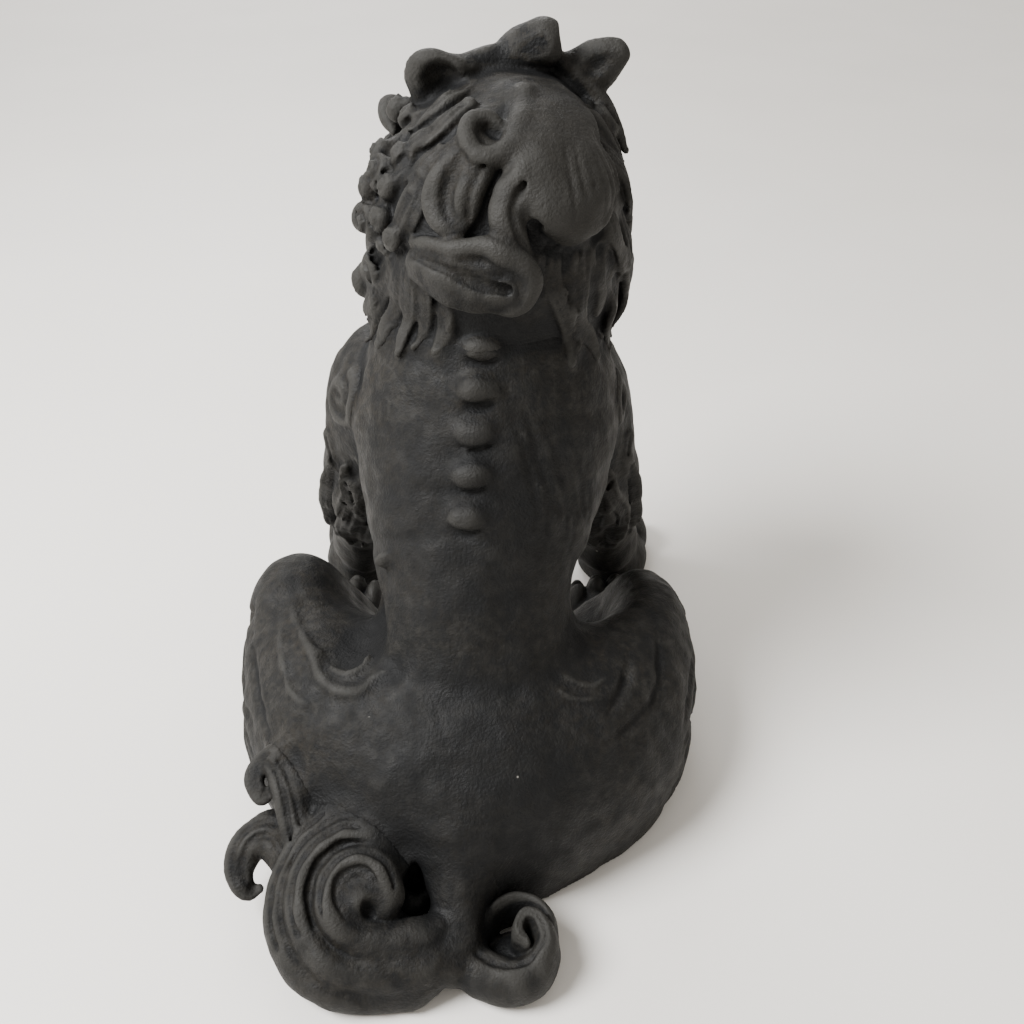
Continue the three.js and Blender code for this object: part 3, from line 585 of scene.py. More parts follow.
# Where the rump runs out into the tail's stem, and the hollow between the stem and the whorl
TAIL_FLARE = (Ball((4, 79, 31), (12, 11, 14)), 16, ADD)
TAIL_HOLLOW = (Ball((19, 97, 17), (6.5, 9, 15)), 2, CUT)


def body_steps():
    coat = [*spine_knobs(), *coat_lines(), *combed_back(), *combed_thighs(), *bib_locks()]
    return plain_body() + [TAIL_FLARE, TAIL_HOLLOW] + coat


# Legs and paws

def paw(centre, foot):
    """A pad with toes, a nail and a creased knuckle on each."""
    yield Ball(centre, (foot.wide, foot.long, foot.tall * 0.62)), 4, ADD
    for i in range(TOES):
        across = 2 * i / (TOES - 1) - 1
        ahead = foot.long * (0.85 - 0.16 * across * across)
        toe = centre + (across * foot.wide * 0.76, -ahead, 0.5)
        yield Ball(toe, (foot.wide * 0.31, 11, foot.tall * 0.55)), 1.6, ADD
        nail = [toe + (0, -7, 4), toe + (across, -11.5, 1.5), toe + (across, -12.5, -3.5)]
        yield Tube(nail, [2.6, 2.2, 0.9], steps=3), 0.8, ADD
        knuckle = toe + (0, -2.5, foot.tall * 0.5)
        yield Tube([knuckle - (3, 0, 1), knuckle, knuckle + (3, 0, -1)], 0.8, steps=2), 0.8, CUT


TUFTS = 4


def foreleg_steps(side):
    elbow, wrist = mirrored(ELBOW.at, side), mirrored(WRIST.at, side)
    along = wrist - elbow
    yield plain_foreleg(side), 0, ADD
    yield Ball(elbow + (0, 9, 0), (12, 12, 15)), 9, ADD
    yield Ball(elbow + along * 0.3 + (side * 3, -6, 0), (13, 12, 22)), 8, ADD
    yield Ball(wrist + (0, 5, -2), (12, 11, 12)), 8, ADD
    for across in (-6, 4):
        path = [elbow + along * share + (across, -24, 0) for share in (0.1, 0.4, 0.7, 1)]
        yield Tube(laid_on(study_legs[side], path) - BACK * 1.6, 2.2, steps=1), 4, CUT
    yield from paw(mirrored(FOREPAW.at, side), FOREPAW)
    for i in range(TUFTS):
        across = 2 * i / (TUFTS - 1) - 1
        path = []
        for share in (-0.3, 0, 0.3, 0.6, 0.85):
            sway = 2.5 * sin(7 * share + 2 * i)
            path.append(elbow + along * share + (across * 13 + sway, 24 - 9 * across * across, 6))
        laid = laid_on(study_legs[side], path) + BACK * 1.5
        wide = 4.6 * profile(laid, [0, 0.3, 0.7, 1], [0.4, 1, 0.9, 0.2])
        yield from lock(laid, wide, wide * 0.6, (0, 0.8, 0.4), (-0.45, 0.05, 0.5), soft=2.2, steps=1)
    yield from shoulder_hair(side)


SHOULDER_EYE = (43, -20, 133)
SHOULDER_START = 21.7


def shoulder_hair(side):
    """A whorl of hair on the shoulder blade, with a few short tufts below it."""
    eye = mirrored(SHOULDER_EYE, side)
    out = unit((side, 0.8, 0.35))
    ahead = unit(np.cross(UP, out))
    above = np.cross(out, ahead)
    flat = spiral(radians(90 - side * SHOULDER_START), -side, turns=1.4, far=9.5, near=1.4, count=22)
    laid = study.settle(study_flanks[side], eye + flat @ [ahead, above])
    size = np.linspace(2.155, 1.2, len(laid))
    yield from lock(laid, size, size, out, soft=2.6, steps=2)
    for row in range(3):
        for place in range(2):
            start = eye + ahead * (side * (place * 12 - 8 + 5 * (row % 2))) - UP * (18 + 14 * row)
            fall = laid_on(study_flanks[side], [start, start - UP * 8, start - UP * 16 + ahead * 2])
            size = 3.2 * np.linspace(0.9, 0.25, len(fall))
            yield from lock(fall, size, size * 0.55, out, (0,), soft=2.2, steps=1)


def hind_paw_steps(side):
    centre = mirrored(HINDPAW.at, side) + (HAUNCH_SHIFT, 0, 0)
    yield Ball(centre + (0, 10, 7), (14.5, 18, 15.5)), 0, ADD
    yield from paw(centre, HINDPAW)


# Head

def in_face(point, side=LEFT):
    turn = radians(FACE_TURN)
    x, y, z = mirrored(point, side)
    return FACE_AT + (x * cos(turn) - y * sin(turn), x * sin(turn) + y * cos(turn), z)


HEAD_BALLS = [
    Ball(MANE.at, MANE.half),
    Ball(CAPE.at, CAPE.half),
    Ball(in_face(SKULL.at), SKULL.half, FACE_TURN),
]
HEAD_SOFT = (0, 8, 8)


def plain_head():
    return [(ball, soft, ADD) for ball, soft in zip(HEAD_BALLS, HEAD_SOFT)]


def on_head(around, up, lift=0.0):
    """A point on the head by degrees round from straight behind towards the lion's left, and degrees up."""
    a, e = radians(around), radians(up)
    way = np.array([sin(a) * cos(e), cos(a) * cos(e), sin(e)])
    out = max(ball.leaves(MANE.at, way) for ball in HEAD_BALLS)
    return MANE.at + way * (out + lift)


def off_head(point):
    return unit(point - MANE.at)


def head_path(places, lift):
    lifts = np.ones(len(places)) * lift
    return [on_head(around, up, height) for (around, up), height in zip(places, lifts)]


def head_lock(places, lift, wide, high, grooves=(), soft=1.4):
    return lock(head_path(places, lift), wide, high, off_head, grooves, soft)


def head_groove(places, lift, half, soft):
    return Tube(head_path(places, lift), half, steps=5), soft, CUT


CURL_TURNS = 1.6


def knob_curl(eye, root, radius, turn, lift):
    """A small snail curl: a round knob with a spiral groove, and a lock that leads to it from its root."""
    middle = on_head(*eye, lift)
    out = off_head(middle)
    ahead = unit(np.cross(UP, out))
    above = np.cross(out, ahead)
    between = ((root[0] * 2 + eye[0]) / 3, (root[1] * 2 + eye[1]) / 3)
    wide = [radius * 0.5, radius * 0.7, radius * 0.8]
    yield from head_lock([root, between, eye], [0, 0.4, lift], wide, radius * 0.55, (-0.3, 0.35), soft=1)
    yield Ball(middle, radius), 0.8, ADD
    flat = spiral(pi / 2, turn, CURL_TURNS, far=radius * 0.93, near=radius * 0.13, count=26)
    high = np.sqrt(radius * radius - (flat * flat).sum(1))
    groove = middle + flat @ [ahead, above] + high[:, None] * out
    yield Tube(groove, radius * 0.19, steps=1), 0.9, CUT


def strand(places, wide, tip_lift):
    """A lock that hangs from its root and ends in a point."""
    size = wide * profile(places, [0, 0.3, 0.7, 1], [0.75, 1, 0.8, 0.25])
    lifts = np.linspace(0.8, tip_lift, len(places))
    return head_lock(places, lifts, size, size * 0.7, (-0.4, 0.35), soft=1.2)


CREST_RIDGE = [(4, -37, 236), (-4, -39, 238), (-11, -41, 238)]

# The ring of hair on the back of the crown, in a frame of its own: places right, up and out, and half sizes
RING_AT = np.array([-6.0, -0.6, 226.0])
RING_UP = np.array([0.0, -0.77, 0.64])
RING_OUT = np.array([0.0, 0.64, 0.77])
RING_SCALE = 1.2
RING_PATH = [
    (8, 14, -4), (7.5, 5, -1), (5.6, -2, 1), (1.5, -5.4, 2), (-3, -5, 2.2), (-5.2, -1, 2), (-4.4, 3.6, 1.4),
    (-0.8, 5.2, 0.8), (2, 3.4, 0),
]
RING_SIZES = [3.6, 3.8, 3.5, 3.2, 3, 2.7, 2.4, 2.1, 1.6]


def on_ring(right, up, out):
    return RING_AT + RING_SCALE * (RING_UP * up - np.array([right, 0, 0])) + RING_OUT * out


def crown_ring():
    """A lock from the crown that turns round into its own eye, over a hollow."""
    yield Ball(on_ring(3.5, -8.5, 0.5), (6, 3.8, 3.2)), 3, CUT
    yield from lock([on_ring(*place) for place in RING_PATH], RING_SIZES, RING_SIZES, RING_OUT, soft=1.8)
    yield Ball(on_ring(-0.4, -0.2, 2), (1.9, 1.9, 2.6)), 1.2, CUT


def nape_lobe():
    """The broad smooth sheet of hair right of the nape, rounded off below over a shadowed edge."""
    pad = [(-105, 76), (-54, 63), (-38, 51), (-35, 40), (-35, 29), (-36, 21)]
    pad_lift = [-2, -0.5, 0.5, 1.5, 2.2, 1.5]
    inner = [(-24, 56), (-17, 45), (-13, 36), (-14, 30)]
    edge = [(-86, 56), (-75, 45), (-71, 35), (-66, 25), (-56, 15), (-42, 10), (-28, 9), (-19, 12)]
    rim = [(-80, 56), (-69, 46), (-64, 36), (-59, 27), (-50, 19), (-40, 15)]
    sheet = [
        *head_lock(pad, pad_lift, [12, 13, 14.5, 16, 15.5, 10], [5, 5.5, 5.5, 6, 6.4, 5], soft=4),
        *head_lock(inner, [0, 1, 1.6, 1.4], [6, 8.5, 8.5, 4], [3.6, 4.6, 4.8, 3], soft=4),
        head_groove(edge, 0.8, [0.6, 1.3, 1.8, 2.1, 2.3, 2.3, 2, 1.2], 1.4),
    ]
    yield from sheet
    surface = study.model(plain_head() + sheet)
    laid = laid_on(surface, head_path(rim, 6))
    yield Tube(laid, 1.5 * swell(laid, 0.3, 0.3), steps=1), 1.6, ADD
    for around in range(-58, -24, 5):
        line = [(around - 5, 47), (around - 2, 37), (around, 27), (around + 1, 20)]
        laid = laid_on(surface, head_path(line, 8))
        yield Tube(laid, 0.5 * swell(laid, 0.2, 0.2), steps=1), 1.0, CUT


def nape_lock():
    """The ridge that runs in an S down the left edge of that sheet, and the hollow that splits its foot."""
    ridge = [(-18, 49), (-12, 42), (-6, 36), (-2, 28), (-3, 20), (-6, 14), (-11, 8)]
    lift = [0.5, 1.4, 2, 2.4, 2.4, 2, 1.6]
    wide = [2.4, 4, 4.8, 5, 5, 4.4, 3]
    yield from head_lock(ridge, lift, wide, [2, 3.4, 4, 4.2, 4.2, 3.6, 2.6], (0.4,), soft=3)
    split = [(-20, 31), (-17, 26), (-14, 20), (-15, 12)]
    yield head_groove(split, [4.6, 4, 3.4, 3], [0.8, 1.9, 2.2, 1.8], 1.2)
    yield head_groove([(-4, 47), (4, 39), (8, 29), (6, 20)], 1.2, [0.6, 1.3, 1.5, 1], 1.2)


def leaf_lock():
    """The cupped leaf of hair left of the nape, in two strips."""
    narrow = [(6, 52), (11, 42), (15, 33), (15, 24)]
    yield from head_lock(narrow, [0, 0.8, 1, 0.5], [3, 4, 4.2, 2.6], [2.4, 3, 3.2, 2], (0.2,), soft=1.2)
    broad = [(15, 54), (22, 44), (25, 35), (23, 26), (17, 20)]
    yield from head_lock(broad, [0, 1, 1.6, 1.6, 1], [4, 6.2, 7, 5.6, 2.6], [3, 3.4, 3.6, 3.4, 2])
    rim = [(18, 53), (29, 43), (34, 35), (34, 28), (28, 21), (19, 17)]
    size = [1.2, 1.8, 2, 2, 2, 1.2]
    yield from head_lock(rim, [1.5, 2.6, 3, 3.2, 3, 2.2], size, size, soft=2)
    yield head_groove([(20, 45), (24, 36), (23, 28), (19, 23)], 5, [1.4, 2.4, 2.4, 1.6], 2)


def nape_scroll():
    """The thick lock that sweeps across the nape and hooks down at its end."""
    main = [(40, 4), (30, 2), (19, 1), (8, 0), (-3, 0)]
    yield from head_lock(main, [0, 1, 2, 2.6, 2.6], [4, 7, 8.8, 8.8, 7.4], [3.6, 5, 5.8, 5.8, 5], (0.55,))
    upper = [(42, 11), (31, 13), (18, 13), (7, 15), (0, 13), (-8, 8), (-11, 2), (-9, -5), (-3, -9), (3, -9)]
    size = [1.8, 2.4, 3, 3.4, 3.8, 4, 3.8, 3.2, 2.6, 1.6]
    yield from head_lock(upper, [0.5, 2, 3.6, 4.4, 5, 5.2, 5, 4.6, 4, 3.4], size, size)
    yield head_groove([(37, 8), (20, 6), (6, 2), (-2, 0)], [4.6, 6.8, 7.4, 6.4], [0.6, 1.2, 1.6, 1.4], 1.0)


# Small curls of the mane: eye and root in degrees, radius, turn and how far they stand off
SMALL_CURLS = [
    ((122, 40), (128, 58), 4.4, 1, 5.0),
    ((108, 48), (94, 66), 4.2, 1, 2.5),
    ((91, 34), (100, 50), 4.8, 1, 3.5),
    ((70, 41), (56, 56), 4.4, 1, 1.0),
    ((88, 21), (100, 36), 4.8, 1, 3.0),
    ((67, 28), (60, 42), 4.2, 1, 1.2),
    ((84, 8), (96, 24), 4.8, 1, 3.5),
    ((67, 14), (74, 28), 4.2, 1, 1.2),
    ((54, 10), (46, 30), 4.6, 1, 1.2),
    ((97, -22), (66, 2), 5.8, 1, 4.4),
    ((106, -34), (108, -8), 5.6, 1, 0.8),
    ((108, 10), (110, 34), 5.4, 1, 0.8),
    ((110, -12), (112, 10), 5.4, 1, 0.8),
    ((-112, 42), (-96, 62), 6.0, -1, 0.8),
    ((-134, 26), (-116, 50), 6.0, -1, 0.8),
    ((-124, 4), (-106, 24), 6.0, -1, 0.8),
    ((-146, -6), (-132, 14), 6.0, -1, 0.8),
    ((-122, -22), (-104, -2), 6.0, -1, 0.8),
    ((-144, -32), (-130, -12), 5.8, -1, 0.8),
]

# Hanging locks of the mane: places in degrees, half width and how far the tip stands off
HANGING = [
    ([(120, 76), (78, 71), (75, 61), (84, 49)], 3.6, 1.5),
    ([(42, 72), (48, 60), (54, 51), (63, 45)], 3.4, 1.0),
    ([(20, 58), (33, 47), (43, 40), (51, 35)], 3.4, 1.0),
    ([(40, 50), (48, 42), (55, 36), (60, 30)], 2.8, 1.0),
    ([(44, 38), (48, 28), (52, 19), (56, 12)], 3.0, 1.0),
    ([(38, 36), (40, 27), (43, 18), (46, 10)], 2.6, 1.0),
    ([(-100, 66), (-104, 46), (-98, 26), (-92, 8)], 5.0, 2.0),
    ([(-100, 30), (-100, 10), (-100, -10), (-96, -30)], 5.0, 2.0),
    ([(-110, 10), (-112, -8), (-112, -26), (-104, -46)], 4.8, 2.0),
]

# Locks that fall from the mane onto the neck and shoulders: places in the lion's frame, half width and lift
FALLING = [
    ([(23, -1, 195), (33, -18, 184), (37, -27, 175), (38, -27, 165)], 4.8, 2.0),
    ([(22, 0, 196), (28, -13, 182), (32, -21, 170), (35, -24, 158)], 4.4, 1.4),
    ([(22, 1, 196), (26, -7, 183), (29, -15, 169), (31, -16, 154)], 4.2, 2.0),
    ([(20, 3, 197), (22, 2, 186), (24, -5, 172), (26, -7, 158)], 4.2, 1.4),
    ([(19, 4, 197), (18, 6, 188), (19, 2, 175), (20, 2, 160)], 4.0, 2.0),
    ([(17, 6, 197), (14, 9, 189), (14, 7, 178), (16, 4, 164)], 3.6, 1.4),
    ([(15, 8, 188), (9, 11, 181), (8, 10, 174), (10, 8, 165)], 3.0, 1.0),
    ([(-24, 12, 201), (-24, 13, 192), (-28, 9, 178), (-30, 4, 168), (-29, 5, 160)], 3.4, 1.2),
    ([(-29, 10, 199), (-29, 10, 187), (-31, 6, 175), (-31, 1, 163)], 2.6, 0.8),
    ([(-34, 6, 198), (-33, 8, 187), (-32, 6, 176), (-35, -2, 166), (-37, -4, 157)], 3.8, 1.6),
    ([(-38, 0, 196), (-39, 0, 187), (-39, -5, 174), (-40, -12, 160)], 3.0, 1.0),
    ([(-44, -12, 184), (-45, -16, 173), (-42, -16, 165), (-40, -18, 152)], 4.0, 1.8),
    ([(-38, -6, 210), (-42, -5, 202), (-43, -6, 194), (-46, -16, 182), (-47, -24, 170)], 3.8, 1.6),
    ([(-47, -20, 201), (-48, -17, 188), (-49, -26, 173), (-48, -26, 160)], 4.8, 3.0),
    ([(-50, -32, 178), (-50, -28, 167), (-46, -22, 155)], 4.4, 3.0),
    ([(-39, -18, 219), (-44, -22, 212), (-47, -23, 204), (-48, -21, 195)], 4.2, 2.2),
]

# The lock that stands off the head behind the right ear
OUTER_LOCK = [(-28, -45, 236), (-35, -44, 230), (-40, -42, 224), (-44, -40, 218), (-48, -38, 212)]

# Forms of the face on its middle line: place, half sizes and softness
FACE_MIDDLE = [
    ((0, -45, -9), (27, 22, 17), 6),
    ((0, -42, -27), (21, 22, 9), 3),
    ((0, -40, -20), (28, 22, 9), 3),
    ((0, -48, 10), (9, 18, 8), 4),
    ((0, -65, 0), (6, 7, 6), 4),
]

# Forms in pairs: a ball's place and half sizes or a bead's path and sizes, softness, and raised or cut
FACE_PAIRS = [
    ((27, -30, -12), (13, 17, 18), 5, ADD),
    ((12, -58, -13), (13, 11, 10), 3, ADD),
    ((17, -49, 12), (11, 6, 9), 3, CUT),
    ((17, -44, 11), (8.2, 8.2, 8.2), 0.6, ADD),
    ((17, -52, 10.5), (2.2, 1.6, 2.2), 0.6, CUT),
    ([(7, -52, 9), (16, -53.5, 17), (27, -45, 11)], [1.4, 2.2, 1.4], 0.8, ADD),
    ([(8, -52, 7), (17, -53, 4), (27, -45, 8)], [1.2, 1.8, 1.2], 0.8, ADD),
    ((7, -64, -1), (6, 7, 5), 4, ADD),
    ([(30, -40, -17), (17, -62, -20), (6, -69.5, -17.5), (0, -71, -16.5)], 2.4, 1.5, ADD),
    ([(30, -39, -21), (16, -61, -25), (0, -69, -24)], 2.2, 1.5, ADD),
    ([(32, -36, -19), (17, -63, -22.5), (0, -71.5, -20.5)], 1.4, 0.8, CUT),
    ([(13, -63, -18), (13.5, -64.5, -23), (13.5, -64, -28)], [3, 2.4, 0.8], 1.0, ADD),
    ((6.5, -70.5, -3), (2.4, 3, 2), 1, CUT),
]
BROW_ROOTS = [(3, -52, 16), (6, -50, 21), (12, -47, 26)]
BEARD_LOCKS = 3
NOSE_FOLDS = 2


def face():
    """A broad guardian's face: heavy brows, round eyes, wide nose, closed mouth with fangs, short beard."""
    def ball(at, half, side=LEFT):
        return Ball(in_face(at, side), half, FACE_TURN)

    def bead(points, size, side=LEFT):
        return Tube([in_face(p, side) for p in points], size)

    for at, half, soft in FACE_MIDDLE:
        yield ball(at, half), soft, ADD
    for side in (LEFT, RIGHT):
        for at, size, soft, way in FACE_PAIRS:
            shape = bead if isinstance(at, list) else ball
            yield shape(at, size, side), soft, way
        for i, root in enumerate(BROW_ROOTS):
            rise = vec(root)
            arch = [rise, rise + (8, 0, 5 - i), rise + (14 - i, 5, 3 - i), rise + (18 - 2 * i, 11, -2)]
            yield bead(arch, [2.4, 3.8, 3.2, 1.2], side), 0.9, ADD
        for i in range(BEARD_LOCKS):
            root = np.array((4 + 7 * i, -58 + 7 * i, -31 + i))
            fall = [root, root + (1, -5, -6), root + (2, -3, -13), root + (4, -8, -15), root + (3, -9, -11)]
            yield bead(fall, [4.6, 4.8, 3.6, 2.4, 1.2], side), 0.9, ADD
        for i in range(NOSE_FOLDS):
            fold = [(3, -60 + 5 * i, 7 + 4 * i), (9, -58 + 5 * i, 9 + 4 * i), (13, -54 + 5 * i, 7 + 4 * i)]
            yield bead(fold, [0.8, 1.4, 0.6], side), 0.8, ADD
    yield bead([(0, -73, -7), (0, -72, -16)], 0.8), 0.8, CUT


RUFF_CURLS = 5
RUFF_RADIUS = 6.4


def ruff():
    """Curls down each side of the face, from below the ear round the cheek."""
    for side in (LEFT, RIGHT):
        for share in np.linspace(0, 1, RUFF_CURLS):
            up = 30 - 84 * share
            around = 180 - FACE_TURN - side * (66 + 8 * sin(share * pi) - 14 * share)
            yield from knob_curl((around, up), (around + side * 20, up + 10), RUFF_RADIUS, side, lift=1.0)


study_coat = smooth_min(study_body, study.model(plain_head()), NECK_BLEND)


def falling(places, wide, lift):
    """A lock laid down the mane and onto the neck, ending in a point."""
    laid = laid_on(study_coat, places, 3)
    stand = profile(laid, [0, 0.5, 1], [-2.5, lift, lift])
    laid = laid + study.slope(study_coat, laid) * stand[:, None]
    size = wide * profile(laid, [0, 0.3, 0.7, 1], [0.8, 1, 0.8, 0.2])
    return lock(laid, size, size * 0.7, off_head, (-0.55, -0.05, 0.45), soft=1.6, steps=2)


def head_steps():
    yield from plain_head()
    yield from face()
    yield from ruff()
    for row in HANGING:
        yield from strand(*row)
    for row in SMALL_CURLS:
        yield from knob_curl(*row)
    yield from nape_lobe()
    for row in FALLING:
        yield from falling(*row)
    yield from lock(OUTER_LOCK, [4, 5, 5, 4, 1.5], [3, 3.6, 3.6, 3, 1.2], off_head, (-0.3, 0.3), soft=2)
    yield Tube(CREST_RIDGE, [4, 4, 4.5]), 3, ADD
    for detail in (crown_ring, nape_lock, leaf_lock, nape_scroll):
        yield from detail()


# Ears and horn: an ear's flat is the way its hollow looks

EARS = {
    "left_ear": form([(7, -40, 224), (8, -38, 231), (9, -35, 236), (9, -32, 239)],
                     wide=[10, 11.5, 11, 8], thick=[6.5, 5.6, 4.8, 3.4], flat=(0.1, 0.95, 0.0), hollow=7),
    "right_ear": form([(-27, -46, 228), (-34, -45, 233), (-40, -44, 237), (-45, -43.5, 240)],
                      wide=[8, 8, 7, 4], thick=[5, 4.8, 4, 2.8], flat=(-0.2, 0.9, 0.3), hollow=2.6),
}


def ear_steps(ear):
    """A leaf-shaped ear with a hollow down its flat."""
    flat = unit(ear.flat)
    yield Tube(ear.at, ear.wide, ear.thick, flat), 0, ADD
    inner = curve(ear.at, 4)[3:-3] + flat * max(ear.thick) * 1.1
    size = ear.hollow * swell(inner, 0.5, 0.4)
    yield Tube(inner, size, size * 0.8, flat, steps=1), 2, CUT


FLAT_RADIUS = 200.0

# Flat faces of the horn: a point on each and the way it looks
HORN_FACES = [
    ((-18, -36, 245.8), (0.43, 0.65, 1)),
    ((-18, -36, 241), (0.05, 1, 0.1)),
    ((-26, -40, 243), (-1, 0.1, 0.15)),
]


def horn_steps():
    """The stubby horn: a blunt block on a short stalk, with a sloping top and a flat face behind."""
    yield Tube([(-13, -45, 229), (-15, -44, 236), (-16, -43, 240)], [9, 7, 6]), 0, ADD
    yield Tube([(-8, -46, 237.5), (-15, -44, 241), (-21, -43, 243)], [4, 6, 6.8], [7, 8, 8], BACK), 2, ADD
    for point, way in HORN_FACES:
        yield Ball(point + unit(way) * FLAT_RADIUS, FLAT_RADIUS), 0.5, CUT
    yield Ball((-18, -34, 234.5), (9, 6, 3.5)), 1.5, CUT


# Tail

PLUME_UP = np.array([0, -cos(PLUME_TILT), sin(PLUME_TILT)])
PLUME_OUT = np.array([0, sin(PLUME_TILT), cos(PLUME_TILT)])

# Strands of the whorl from the outside in: places left, up and out from its eye, half width and half depth
PLUME_STRANDS = [
    ([(-20, -23, -8), (-4, -27, -8), (11, -25, -7), (21, -17, -6), (26.5, -5, -5), (25.5, 9, -4),
      (19, 19, -3), (9, 25, -2), (-1, 24, -2), (-6, 16, -3), (-6, 8, -4)], 5.6, 9),
    ([(-20, -17, -4), (-4, -21, -3), (9, -18, -1.5), (17, -9, 0), (19.5, 2, 1), (16, 12, 1.5), (8, 18, 2),
      (0, 17, 2), (-5, 11, 1), (-6, 4, -1)], 6, 9),
    ([(-20, -9, -1), (-5, -12, 1), (5, -9.5, 3), (10, -2, 4.5), (9, 6, 5), (2, 10.5, 5.5), (-5, 8, 5),
      (-8, 1.5, 4), (-7.5, -3, 3)], 5.6, 8),
]
STRAND_COMB = 1.15

# Hooked locks of the plume: path and half widths
PLUME_HOOKS = [
    ([(50, 94, 16), (60, 84, 22), (67, 79, 24), (74, 81, 23), (77, 88, 18), (74, 93, 14), (70, 92, 14)],
     [8, 9, 8.5, 7, 5.5, 4, 2.4]),
    ([(54, 90, 18), (58, 82, 30), (61, 74, 38), (65, 67, 42), (70, 64, 43), (73, 69, 40), (70, 74, 37),
      (67, 72, 38)], [6, 6, 5.4, 4.6, 4, 3.6, 3, 1.8]),
]

# The pebble that lies in the tail's hollow
PEBBLE = (Ball((20, 98, 13), (4.2, 3.4, 3.6)), 0.5, ADD)


def on_plume(left, up, out):
    return PLUME_EYE + (left, 0, 0) + PLUME_UP * up + PLUME_OUT * out


def plume_steps():
    yield Tube(TAIL_STEM, STEM_SIZES), 2, ADD
    yield Ball(on_plume(2, -1, -10), (27, 27, 9)), 2, ADD
    for places, half, deep in PLUME_STRANDS:
        path = TAIL_STEM[1:3] + [on_plume(*place) for place in places]
        wide = half * profile(path, [0, 0.2, 0.35, 0.8, 1], [0.9, 0.9, 1, 1, 0.6])
        tall = deep * profile(path, [0, 0.2, 0.35, 0.8, 1], [0.6, 0.7, 1, 1, 0.6])
        yield from lock(path, wide, tall, PLUME_OUT, (-0.5, 0.4), soft=1.0, start=0.45, end=0.88,
                        comb=STRAND_COMB)
    yield Ball(on_plume(-11, -16, -3), (17, 10, 9)), 6, ADD
    yield Ball(on_plume(2, 0, 3.5), (8, 8, 8)), 3, ADD
    for path, wide in PLUME_HOOKS:
        yield from lock(path, wide, vec(wide) * 0.8, PLUME_OUT, (-0.4, 0.2), soft=2.4)
    yield Ball(on_plume(-2.5, -3.5, 9), (2.6, 2.2, 4.5)), 1.5, CUT
    yield TAIL_HOLLOW
    yield PEBBLE


# The scroll's ribbon from the stem to its eye, with half widths and heights, and the ribbon behind it
SCROLL_PATH = [
    (4, 104, 11), (2, 113, 8), (-4, 118, 7), (-12, 120.5, 7), (-19, 118, 8), (-22.5, 112, 10),
    (-20, 106, 11.5), (-16, 105, 12), (-14, 109, 12), (-16, 112.5, 11),
]
SCROLL_WIDE = [8, 7.8, 7.2, 6.8, 5.6, 4.4, 3.6, 3, 2.6, 2]
SCROLL_TALL = [8, 7.5, 8, 8, 8.5, 10, 10, 10, 9, 8]
SCROLL_BACK = [(-24, 113, 8), (-24, 104, 9), (-19, 98, 9.5), (-12, 97, 9.5), (-6, 100, 9), (-3, 105, 7)]


def scroll_steps():
    yield from lock(SCROLL_PATH, SCROLL_WIDE, SCROLL_TALL, UP, (0.1,), soft=0.8)
    yield from lock(SCROLL_BACK, 2.6, [7, 8.5, 8.5, 8.5, 8, 6], UP, soft=1)
    yield Ball((-13, 112, 2), (10, 11, 6)), 2, ADD


# Castings: each takes its share of the blended whole, up to the middle of the crease to its neighbours

# Painted sheen on the crown's lobe and painted shade on the rump and the back: middle and reach
PAINTED_SHEEN_PATCHES = [(on_head(-36, 38), 34)]
PAINTED_SHADE_PATCHES = [((2, 78, 46), 62), ((0, 36, 122), 52)]

# How far about a place its ridges and its hollows are looked for
EDGE_REACH = 1.6
HOLLOW_REACH = 4.5
FIELD_LIMIT = 20


def blurred(field, reach):
    for axis in range(3):
        field = (np.roll(field, reach, axis) + field + np.roll(field, -reach, axis)) / 3
    return field


def ridge_mark(clay, whole, places, reach):
    """Above a half on ridges and below it in hollows of about the reach."""
    cells = max(1, round(reach / clay.step))
    near = np.clip(whole, -3 * reach, 3 * reach)
    return 0.5 + clay.sample(blurred(blurred(near, cells), cells) - near, places) / reach


def closeness(places, patches):
    """How near each place is to the middle of a patch, from 1 there to 0 at its reach and beyond."""
    near = [1 - np.linalg.norm(places - vec(middle), axis=1) / reach for middle, reach in patches]
    return np.max(near, axis=0).clip(0, 1)


def largest_shell(count, quads):
    """Which points belong to the shell that has the most of them."""
    pairs = np.vstack([quads[:, [0, 1]], quads[:, [1, 2]], quads[:, [2, 3]]])
    root = np.arange(count)
    while True:
        ends = root[pairs]
        low, high = ends.min(axis=1), ends.max(axis=1)
        if np.array_equal(low, high):
            return root == np.bincount(root).argmax()
        np.minimum.at(root, high, low)
        while not np.array_equal(root, root[root]):
            root = root[root]


def mesh_piece(name, clay, field, whole):
    """The surface of a field as a mesh object, with what its material needs to know of each point."""
    volume = openvdb.FloatGrid(FAR)
    volume.copyFromArray(np.ascontiguousarray(np.clip(field, -FIELD_LIMIT, FIELD_LIMIT)))
    points, _, quads = volume.convertToPolygons(isovalue=0.0, adaptivity=0.0)
    quads = quads.astype(np.int64)
    keep = largest_shell(len(points), quads)
    quads = (np.cumsum(keep) - 1)[quads[keep[quads[:, 0]]]]
    places = clay.low + points[keep] * clay.step
    mesh = bpy.data.meshes.new(name)
    mesh.from_pydata(((places + SHIFT) * MM).tolist(), [], quads[:, ::-1].tolist(), shade_flat=False)
    mesh.validate()
    marks = {
        # Edge wear and painted highlight: high on ridges, which the iron's colour lightens
        "edge": ridge_mark(clay, whole, places, EDGE_REACH),
        # Painted shade: low in hollows, which the iron's colour darkens
        "hollow": ridge_mark(clay, whole, places, HOLLOW_REACH),
        # Painted sheen: near 1 at the middle of the crown's lobe
        "painted_sheen": closeness(places, PAINTED_SHEEN_PATCHES),
        # Painted shade: near 1 at the middles of the rump and the back
        "painted_shade": closeness(places, PAINTED_SHADE_PATCHES),
    }
    for label, values in marks.items():
        mesh.attributes.new(label, "FLOAT", "POINT").data.foreach_set("value", values.astype(np.float32))
    piece = bpy.data.objects.new(name + "_sculpt", mesh)
    bpy.context.scene.collection.objects.link(piece)
    return piece


pieces = {}


